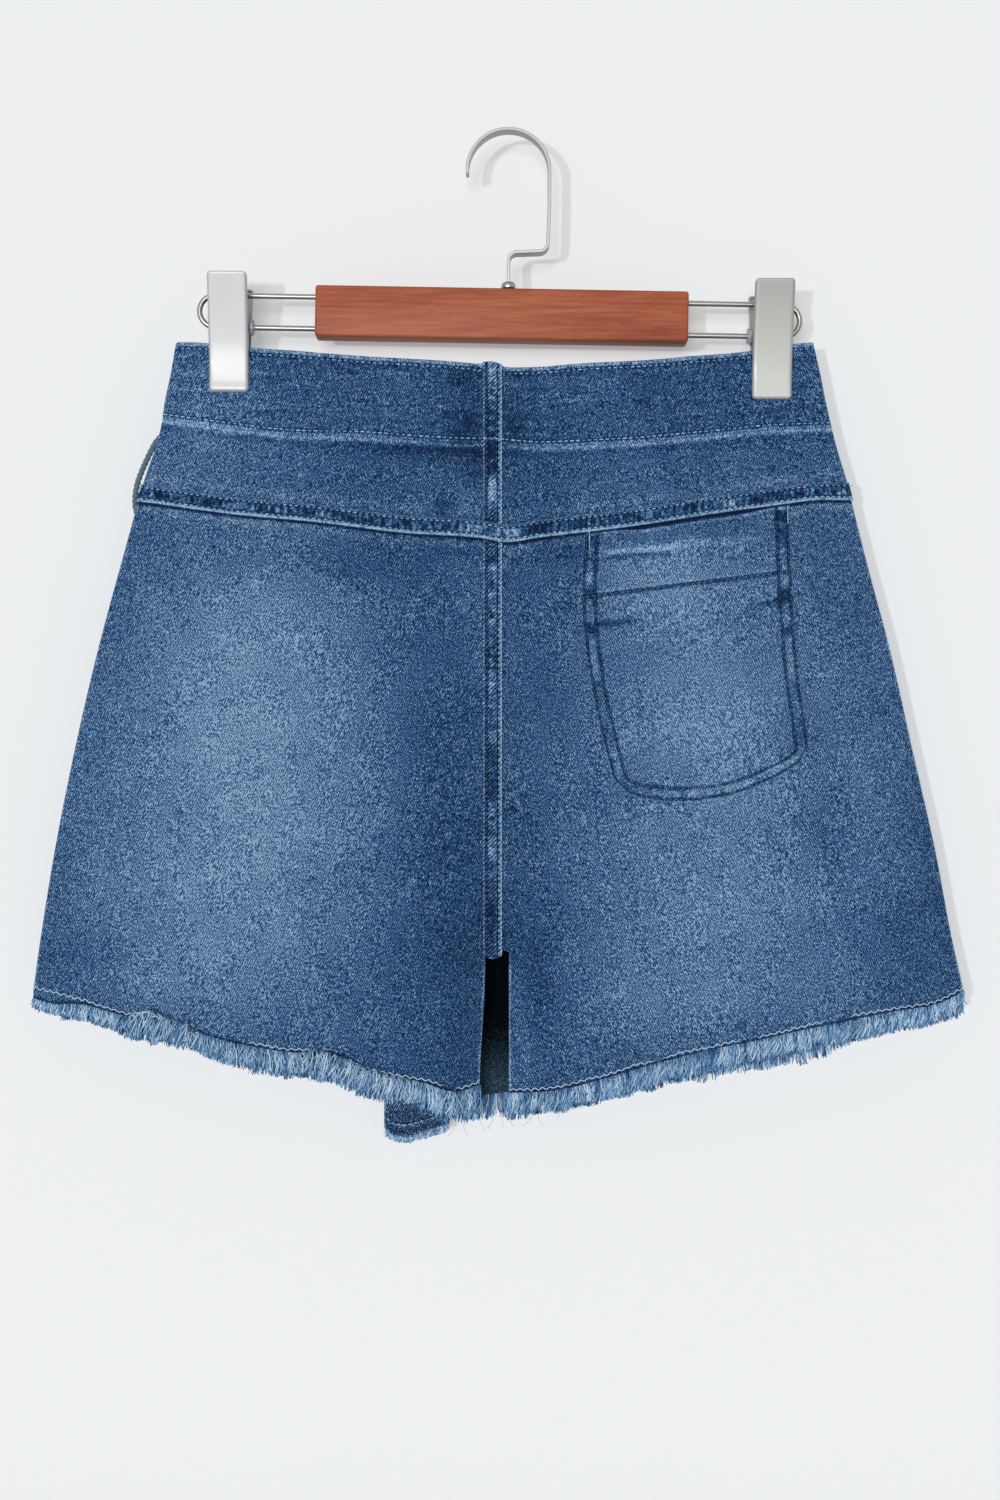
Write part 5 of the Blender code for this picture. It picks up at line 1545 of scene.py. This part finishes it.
# The lace's three plies: the length of a turn, their distance from the middle and their radius.
TWIST, PLY_OFFSET, PLY_RADIUS, PLY_SIDES = 9.0, 0.80, 1.02, 7
# The spacing of the route's points in diameters, the step along it and how often it is eased.
ROUTE_SPACING, LACE_STEP, LACE_PASSES = 2.2, 0.9, 12


def make_lace(stuff):
    """Three plies twisted round the lace's route."""
    route = smooth_route(LACE_ROUTE, ROUTE_SPACING * LACE)
    lengths = along_line(route)
    at = np.linspace(0, lengths[-1], int(lengths[-1] / LACE_STEP))
    line = np.stack([np.interp(at, lengths, values) for values in route.T], -1)
    line = eased(line, LACE_PASSES)
    along = unit(np.gradient(line, axis=0))
    first = unit(np.cross(along, (0.0, 0.0, 1.0)))
    for i in range(1, len(first)):
        first[i] = unit(first[i - 1] - along[i] * np.dot(first[i - 1], along[i]))
    second = np.cross(along, first)
    bm = bmesh.new()
    layer = bm.loops.layers.uv.new("cord")
    for ply in range(3):
        angle = 2 * math.pi * (at / TWIST + ply / 3)[:, None]
        out = first * np.cos(angle) + second * np.sin(angle)
        across = -first * np.sin(angle) + second * np.cos(angle)
        centre = line + PLY_OFFSET * out
        offsets = [PLY_RADIUS * (out * cos + across * sin) for cos, sin in circle(PLY_SIDES)]
        faces = bridge(bm, np.stack([centre + offset for offset in offsets], 1))
        for number, face in enumerate(faces):
            i, k = divmod(number, PLY_SIDES)
            places = ((k, i), (k + 1, i), (k + 1, i + 1), (k, i + 1))
            for loop, (around, row) in zip(face.loops, places):
                loop[layer].uv = (around / PLY_SIDES, at[row] * MM)
    lace = finish("lace_cord", bm, stuff["lace"], "lace")
    [tuple(point) for point in line[::4] * MM]


def ribbon(name, material, slot, path, thickness, width, place):
    """A strip bent along a flat path; `place` gives x, y, z for a point of it and one across."""
    line = [Vector(point) for point in path]
    rings = []
    for i, point in enumerate(line):
        before = (point - line[i - 1]).normalized() if i else (line[1] - point).normalized()
        after = (line[i + 1] - point).normalized() if i + 1 < len(line) else before
        across = (before + after).normalized().orthogonal()
        across *= 0.5 * thickness / across.dot(before.orthogonal())
        corners = ((across, -1), (across, 1), (-across, 1), (-across, -1))
        rings.append([place(point + off, 0.5 * end * width) for off, end in corners])
    bm = bmesh.new()
    bridge(bm, rings)
    finish(name, bm, material, slot, bevel=0.35)


# The carriers of the lace: their places, height, width, feet and crown.
CARRIER = {"upper": (-180.0, -174.0), "lower": (-180.0, -221.0)}
CARRIER_HEIGHT, CARRIER_WIDTH, CARRIER_FOOT, CARRIER_CROWN = 15.0, 6.0, 2.6, 3.4


def make_carriers(stuff):
    half, crown = 0.5 * CARRIER_HEIGHT, CARRIER_CROWN
    rise, foot = LACE + 2 * OVERLAY_GAP + FELL_CLOTH, half - CARRIER_FOOT
    stops = ((half, 0), (foot, 0), (crown, rise), (-crown, rise), (-foot, 0), (-half, 0))
    for name, (x, z) in CARRIER.items():
        path = []
        for up, out in stops:
            face = float(front_outside(np.array(x), np.array(z + up * (out == 0))))
            path.append((face + OVERLAY_GAP + 0.5 * FELL_CLOTH + out, z + up))
        ribbon(
            f"carrier_{name}_loop", stuff["loop"], "denim_seam", path, FELL_CLOTH, CARRIER_WIDTH,
            lambda point, across: (x + across, *point),
        )


# The hook: its inner radius, the sheet's thickness and width, where its tip ends, the radius of
# its bends, the foot of its leg and how far below its top the leg and the stem turn.
HOOK_RADIUS, HOOK_SHEET, HOOK_WIDTH, HOOK_TIP, HOOK_BEND = 22.3, 1.8, 9.0, math.radians(185.0), 5.0
HOOK_LEG, HOOK_LEG_FOOT, LEG_TURN, STEM_TURN = -42.0, 22.4, -68.3, -68.7
HOOK_STEPS, BEND_STEPS = 72, 12


def bar_place():
    """The tilted bar's place: a matrix from its own frame to the hanger's."""
    centre = Matrix.Translation((BAR_CENTRE[0], 0, BAR_CENTRE[1]))
    return centre @ Matrix.Rotation(BAR_TILT, 4, "Y")


def bar_top(x):
    return BAR_CENTRE[1] + 0.5 * BAR_HEIGHT - (x - BAR_CENTRE[0]) * math.tan(BAR_TILT)


def arc(centre, radius, start, end, steps):
    """Points round a centre, from one angle to another."""
    angles = np.linspace(start, end, steps)
    return [(centre[0] + radius * math.cos(a), centre[1] + radius * math.sin(a)) for a in angles]


def make_hook(stuff):
    """The hook along its middle line: arc, leg, offset and stem."""
    radius, quarter = HOOK_RADIUS + 0.5 * HOOK_SHEET, 0.5 * math.pi
    leg_bend = (HOOK_LEG_FOOT - HOOK_BEND, LEG_TURN + HOOK_BEND)
    path = [
        *arc((0, -HOOK_RADIUS), radius, HOOK_TIP, 0, HOOK_STEPS),
        (radius, HOOK_LEG),
        *arc(leg_bend, HOOK_BEND, 0, -quarter, BEND_STEPS),
        *arc((HOOK_BEND, STEM_TURN - HOOK_BEND), HOOK_BEND, quarter, math.pi, BEND_STEPS),
        (0, bar_top(0.0) + SEAM_GAP),
    ]
    ribbon(
        "hanger_hook_strip", stuff["strip"], "nickel", path, HOOK_SHEET, HOOK_WIDTH,
        lambda point, across: (point.x, across, point.y),
    )


# The collar's size, its stand above the bar and its profile: share of its size, and of its height.
COLLAR, COLLAR_STAND = (8.2, 13.0, 3.8), 0.45
COLLAR_PROFILE = ((0.78, 0.0), (0.97, 0.10), (1.0, 0.35), (0.99, 0.62), (0.86, 0.9), (0.74, 1.0))


def make_collar(stuff):
    """A small turned collar on the bar, round the hook's stem."""
    width, depth, height = COLLAR
    base = bar_top(0.0) + COLLAR_STAND
    square = lambda value: 0.5 * math.copysign(abs(value) ** 0.8, value)
    bm = bmesh.new()
    bridge(bm, [
        [(width * share * square(cos), depth * share * square(sin), base + up * height)
         for cos, sin in circle(40)]
        for share, up in COLLAR_PROFILE
    ])
    finish("hanger_collar_cap", bm, stuff["wire"], "nickel")


# How far the bar's edges are rounded.
BAR_EASE = 1.6


def make_bar(stuff):
    """The wooden bar with eased edges."""
    bm = bmesh.new()
    bmesh.ops.create_cube(bm, size=1.0)
    bmesh.ops.scale(bm, vec=(BAR_LENGTH, BAR_DEPTH, BAR_HEIGHT), verts=bm.verts)
    eased_edges = {"offset": BAR_EASE, "segments": 4, "profile": 0.5, "clamp_overlap": True}
    bmesh.ops.bevel(bm, geom=bm.edges[:], affect="EDGES", **eased_edges)
    bmesh.ops.transform(bm, matrix=bar_place(), verts=bm.verts)
    finish("hanger_bar_wood", bm, stuff["wood"], "wood", 60.0)


# How far each wire goes into the bar, where it turns back, and the sides of its section.
WIRE_SOCKET, WIRE_END, WIRE_SIDES = 12.0, {"left": -175.0, "right": 165.0}, 16


def make_wires(stuff):
    """A wire at each end of the bar: out, round and back."""
    turn = 0.5 * WIRE_SPACING
    start = 0.5 * BAR_LENGTH - WIRE_SOCKET + 1.0
    for side, sign in (("left", -1), ("right", 1)):
        bend = sign * (WIRE_END[side] - BAR_CENTRE[0]) / math.cos(BAR_TILT) - turn
        path = [(start, turn), (bend - 0.5, turn)]
        path += arc((bend, 0), turn, 0.5 * math.pi, -0.5 * math.pi, 25)
        path += [(bend - 0.5, -turn), (start, -turn)]
        line = np.array([bar_place() @ Vector((sign * x, 0, z)) for x, z in path])
        across = np.cross(unit(np.gradient(line, axis=0)), (0.0, 1.0, 0.0))
        depth = np.array([0.0, 1.0, 0.0])
        turns = circle(WIRE_SIDES)
        rings = [line + 0.5 * WIRE * (across * cos + depth * sin) for cos, sin in turns]
        bm = bmesh.new()
        bridge(bm, np.stack(rings, 1))
        finish(f"hanger_wire_{side}_loop", bm, stuff["wire"], "nickel")


# A clip's pressed plates: width and height, how much shorter the front one is, the gap between
# the jaws, their height and the plates' spread at the top, and then each plate's own sheet,
# corners, rolled edge and flange.
CLIP_WIDTH, CLIP_HEIGHT, CLIP_REAR_DROP, CLIP_SHEET = 22.5, 65.5, 2.4, 1.5
CLIP_JAW, JAW_INSIDE, CLIP_SPREAD, CLIP_CURVE = 9.0, 2.75, 16.5, 1.35
PLATE_SHEET, PLATE_CORNER, PLATE_ROLL, PLATE_FLANGE, PLATE_FLAT = 1.0, 2.4, 1.9, 2.6, 1.2
# The rows of points added down a plate, so that it can bend.
FIRST_CUT, LAST_CUT, PLATE_CUTS = -6.0, 5.0, 14


def plate_ring(inset, depth):
    """A rounded rectangle (x, depth, s), with s from 0 at the top down to minus the height."""
    radius = max(PLATE_CORNER - inset, 0.5)
    x, top = 0.5 * CLIP_WIDTH - inset - radius, -inset - radius
    bottom, quarter = inset + radius - CLIP_HEIGHT, 0.5 * math.pi
    ring = []
    for turn, corner in enumerate(((x, top), (-x, top), (-x, bottom), (x, bottom))):
        ring += arc(corner, radius, quarter * turn, quarter * (turn + 1), 7)
    return [(across, depth, s) for across, s in ring]


def clip_plate(name, material, side, face, drop):
    """A pressed plate with rolled edges, leaning in from its top to an upright jaw."""
    roll = arc((0, 0), PLATE_ROLL, 0, 0.5 * math.pi, 7)
    skin = [(PLATE_ROLL - x, PLATE_ROLL - y) for y, x in roll]
    flat = PLATE_ROLL + PLATE_FLAT
    profile = [
        (flat, PLATE_SHEET), *(tuple(max(size, PLATE_SHEET) for size in step) for step in skin),
        (PLATE_SHEET, PLATE_FLANGE), (0.0, PLATE_FLANGE), *reversed(skin), (flat, 0.0),
    ]
    bm = bmesh.new()
    bridge(bm, [plate_ring(*step) for step in profile])
    bmesh.ops.remove_doubles(bm, verts=bm.verts, dist=0.01)
    for s in np.linspace(FIRST_CUT, LAST_CUT - CLIP_HEIGHT, PLATE_CUTS):
        geometry = bm.verts[:] + bm.edges[:] + bm.faces[:]
        bmesh.ops.bisect_plane(bm, geom=geometry, plane_co=(0, 0, s), plane_no=(0, 0, 1))
    jaw, jaw_y, half_sheet = CLIP_JAW - CLIP_HEIGHT, JAW_INSIDE + 0.5 * CLIP_SHEET, 0.5 * CLIP_SHEET
    spread, tall = CLIP_SPREAD - jaw_y, -jaw - drop
    for vert in bm.verts:
        x, depth, s = vert.co
        s = -drop + s * (CLIP_HEIGHT - drop) / CLIP_HEIGHT
        risen = max(0.0, (s - jaw) / tall)
        slope = math.atan(CLIP_CURVE * spread / tall * risen ** (CLIP_CURVE - 1))
        inward = depth - half_sheet
        y = jaw_y + spread * risen**CLIP_CURVE - inward * math.cos(slope)
        vert.co = (x, face * y, s - inward * math.sin(slope))
    middle, tilt, top = CLIPS[side]
    place = Matrix.Translation((middle, 0, top - 0.5 * CLIP_HEIGHT))
    place = place @ Matrix.Rotation(math.radians(tilt), 4, "Y")
    place = place @ Matrix.Translation((0, 0, 0.5 * CLIP_HEIGHT))
    bmesh.ops.transform(bm, matrix=place, verts=bm.verts)
    finish(name, bm, material, "nickel", 40.0)


# The clip's folded ears round its pivot, one pair inside the other: how far the two pairs lie from
# the middle, their half thickness, and the clear bushing's radii, flange and tail.
EAR_X, EAR_OUT, EAR_HALF = {"back": 5.2, "front": 3.4}, 3.6, 0.45
EAR_CORNERS, EAR_DEPTH, EAR_HEIGHT = ((10.4, 9.6), (6.0, -9.5)), 4.4, 5.2
BUSHING_RADIUS, BUSHING_RIM, BUSHING_FLANGE, BUSHING_TAIL = 2.9, 4.6, 2.4, 6.4


def clip_pivot(side):
    """Where the lower wire passes a clip's middle."""
    lower = bar_place() @ Vector((0, 0, -0.5 * WIRE_SPACING))
    x = CLIPS[side][0]
    return Vector((x, 0, lower.z - (x - lower.x) * math.tan(BAR_TILT)))


def make_ears(stuff, side):
    pivot = clip_pivot(side)
    for name, face in (("back", -1), ("front", 1)):
        outline = [(face * y, z) for y, z in EAR_CORNERS]
        for turn in np.radians(np.linspace(-90, 90, 9)):
            outline.append((-face * EAR_DEPTH * math.cos(turn), EAR_HEIGHT * math.sin(turn)))
        bm = bmesh.new()
        for end in (-1, 1):
            x = pivot.x + end * (EAR_X[name] + EAR_OUT)
            bridge(bm, [
                [(x + off, y, pivot.z + z) for y, z in outline] for off in (-EAR_HALF, EAR_HALF)
            ])
        finish(
            f"clip_{side}_{name}_ears", bm, stuff["wire"], "nickel", bevel=0.2, stands=False
        )


def make_bushing(stuff, side):
    """The clear sleeve on the lower wire, with its flange on the inboard side."""
    inward = 1 if side == "left" else -1
    bore, tail, rim = 0.5 * WIRE + 0.02, -BUSHING_TAIL, BUSHING_RIM
    shoulder = 0.5 * CLIP_WIDTH + SEAM_GAP
    end = shoulder + BUSHING_FLANGE
    profile = (
        (bore, tail), (BUSHING_RADIUS, tail), (BUSHING_RADIUS, shoulder), (rim - 0.4, shoulder),
        (rim, shoulder + 0.4), (rim, end - 0.8), (rim - 0.8, end), (bore, end),
    )
    place = Matrix.Translation(clip_pivot(side)) @ Matrix.Rotation(BAR_TILT + 0.5 * math.pi, 4, "Y")
    bm = bmesh.new()
    rings = [[(r * cos, r * sin, inward * h) for r, h in profile] for cos, sin in circle(32)]
    bridge(bm, rings, ends=False)
    bmesh.ops.transform(bm, matrix=place, verts=bm.verts)
    finish(f"clip_{side}_bushing_sleeve", bm, stuff["bushing"], "bushing")


def make_clips(stuff):
    for side in CLIPS:
        for name, face, drop in (("back", -1, 0.0), ("front", 1, CLIP_REAR_DROP)):
            clip_plate(f"clip_{side}_{name}_plate", stuff[f"plate {side}"], side, face, drop)
        make_ears(stuff, side)
        make_bushing(stuff, side)


# ---------------------------------------------------------------- the studio

# How strongly the backdrop glows, and how bright the surroundings are for rays that don't see them.
GLOW = 0.32
# The camera's place in metres, and its lens and sensor width.
CAMERA_PLACE, LENS, SENSOR = (-0.0048, -1.058, -0.350), 67.2, 36.0


def place_camera():
    lens = bpy.data.cameras.new("camera")
    lens.sensor_fit = "HORIZONTAL"
    lens.sensor_width, lens.lens = SENSOR, LENS
    camera = link("camera", lens)
    camera.location = CAMERA_PLACE
    camera.rotation_euler = (math.radians(90), 0, 0)
    bpy.context.scene.camera = camera


def seen_by(nodes, *rays):
    """1 for rays of the given kinds, and 0 for others."""
    path = nodes.add("LightPath")
    seen = path[f"Is {rays[0]} Ray"]
    for ray in rays[1:]:
        seen = nodes.maths("MAXIMUM", seen, path[f"Is {ray} Ray"])
    return seen


def backdrop_material():
    """A pale matt surface that only shows from its front and lights nothing behind it."""
    constants = {"Specular IOR Level": 0.0, "Emission Strength": GLOW}
    material, nodes, shader = new_material("backdrop", 0.9, **constants)
    shade = nodes.total((nodes.noise(nodes.object_place(), 3.0), 0.5), 0.5)
    for socket, strength in (("Base Color", 0.84), ("Emission Color", 0.94)):
        lighter = [c * strength for c in (247, 249, 250)]
        stops = [(0, *(c - 2 for c in lighter)), (1, *lighter)]
        nodes.set(shader, {socket: nodes.colours(shade, stops)})
    front = nodes.maths("SUBTRACT", 1.0, nodes.add("NewGeometry")["Backfacing"])
    seen = seen_by(nodes, "Camera", "Glossy", "Transmission")
    nodes.set(shader, {"Alpha": nodes.product(seen, front)})
    return material


# The room, in metres.
WALL_Y, FLOOR_Z, FLOOR_START, REACH = 0.026, -1.1, -2.0, 6.0


def make_stage():
    wall = [(-REACH, FLOOR_Z), (REACH, FLOOR_Z), (REACH, REACH), (-REACH, REACH)]
    floor = [(-REACH, FLOOR_START), (REACH, FLOOR_START), (REACH, REACH), (-REACH, REACH)]
    panels = {
        "backdrop": ([(x, WALL_Y, z) for x, z in wall], backdrop_material()),
        "floor": (
            [(x, y, FLOOR_Z) for x, y in floor],
            surface("floor", 0.9, (((3.0,), 0.5),), FLOOR_STOPS),
        ),
    }
    for name, (corners, material) in panels.items():
        mesh = bpy.data.meshes.new(name)
        mesh.from_pydata(corners, [], [(0, 1, 2, 3)])
        mesh.materials.append(material)
        link(name, mesh)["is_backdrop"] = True


# Each lamp's direction, strength and width in degrees.
LAMPS = {
    "key": ((0.41, 1.0, 0.08), 0.85, 3.0),
    "fill": ((0.12, 1.0, 0.0), 1.3, 20.0),
    "back": ((-0.2, -1.0, -0.2), 1.3, 60.0),
}


def light_studio():
    world = bpy.data.worlds.new("studio")
    bpy.context.scene.world = world
    world.use_nodes = True
    nodes = Nodes(world.node_tree)
    background = nodes.tree.nodes["Background"].inputs
    seen = seen_by(nodes, "Camera", "Transmission", "Glossy")
    strength = nodes.maths("MULTIPLY_ADD", seen, 1 - GLOW, GLOW)
    nodes.set(background, {"Color": from_srgb(240, 241, 242), "Strength": strength})
    for name, (aim, energy, width) in LAMPS.items():
        lamp = bpy.data.lights.new(name, "SUN")
        lamp.energy, lamp.angle = energy, math.radians(width)
        holder = link(name, lamp)
        holder.location = -3 * Vector(aim)
        holder.rotation_euler = Vector(aim).to_track_quat("-Z", "Y").to_euler()
    bpy.context.scene.view_settings.view_transform = "Standard"


# ---------------------------------------------------------------- the whole


def main():
    place_camera()
    stuff = make_materials()
    for make in (
        make_lace, make_hook, make_collar, make_bar, make_wires, make_clips,
        make_back, make_seams, make_pocket, make_front, make_flap,
    ):
        make(stuff)
    for make in (make_carriers, make_stitching, make_stay_stitching, make_fringes):
        make(stuff)
    for name in ("eyelet_upper", "eyelet_lower"):
        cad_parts[name].material_slots[0].material = stuff["wire"]
    make_stage()
    light_studio()


main()
visual_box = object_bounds()
boxes = {"cad": CAD_BOX, "visual": visual_box}
{key: [list(map(float, corner)) for corner in box] for key, box in boxes.items()}
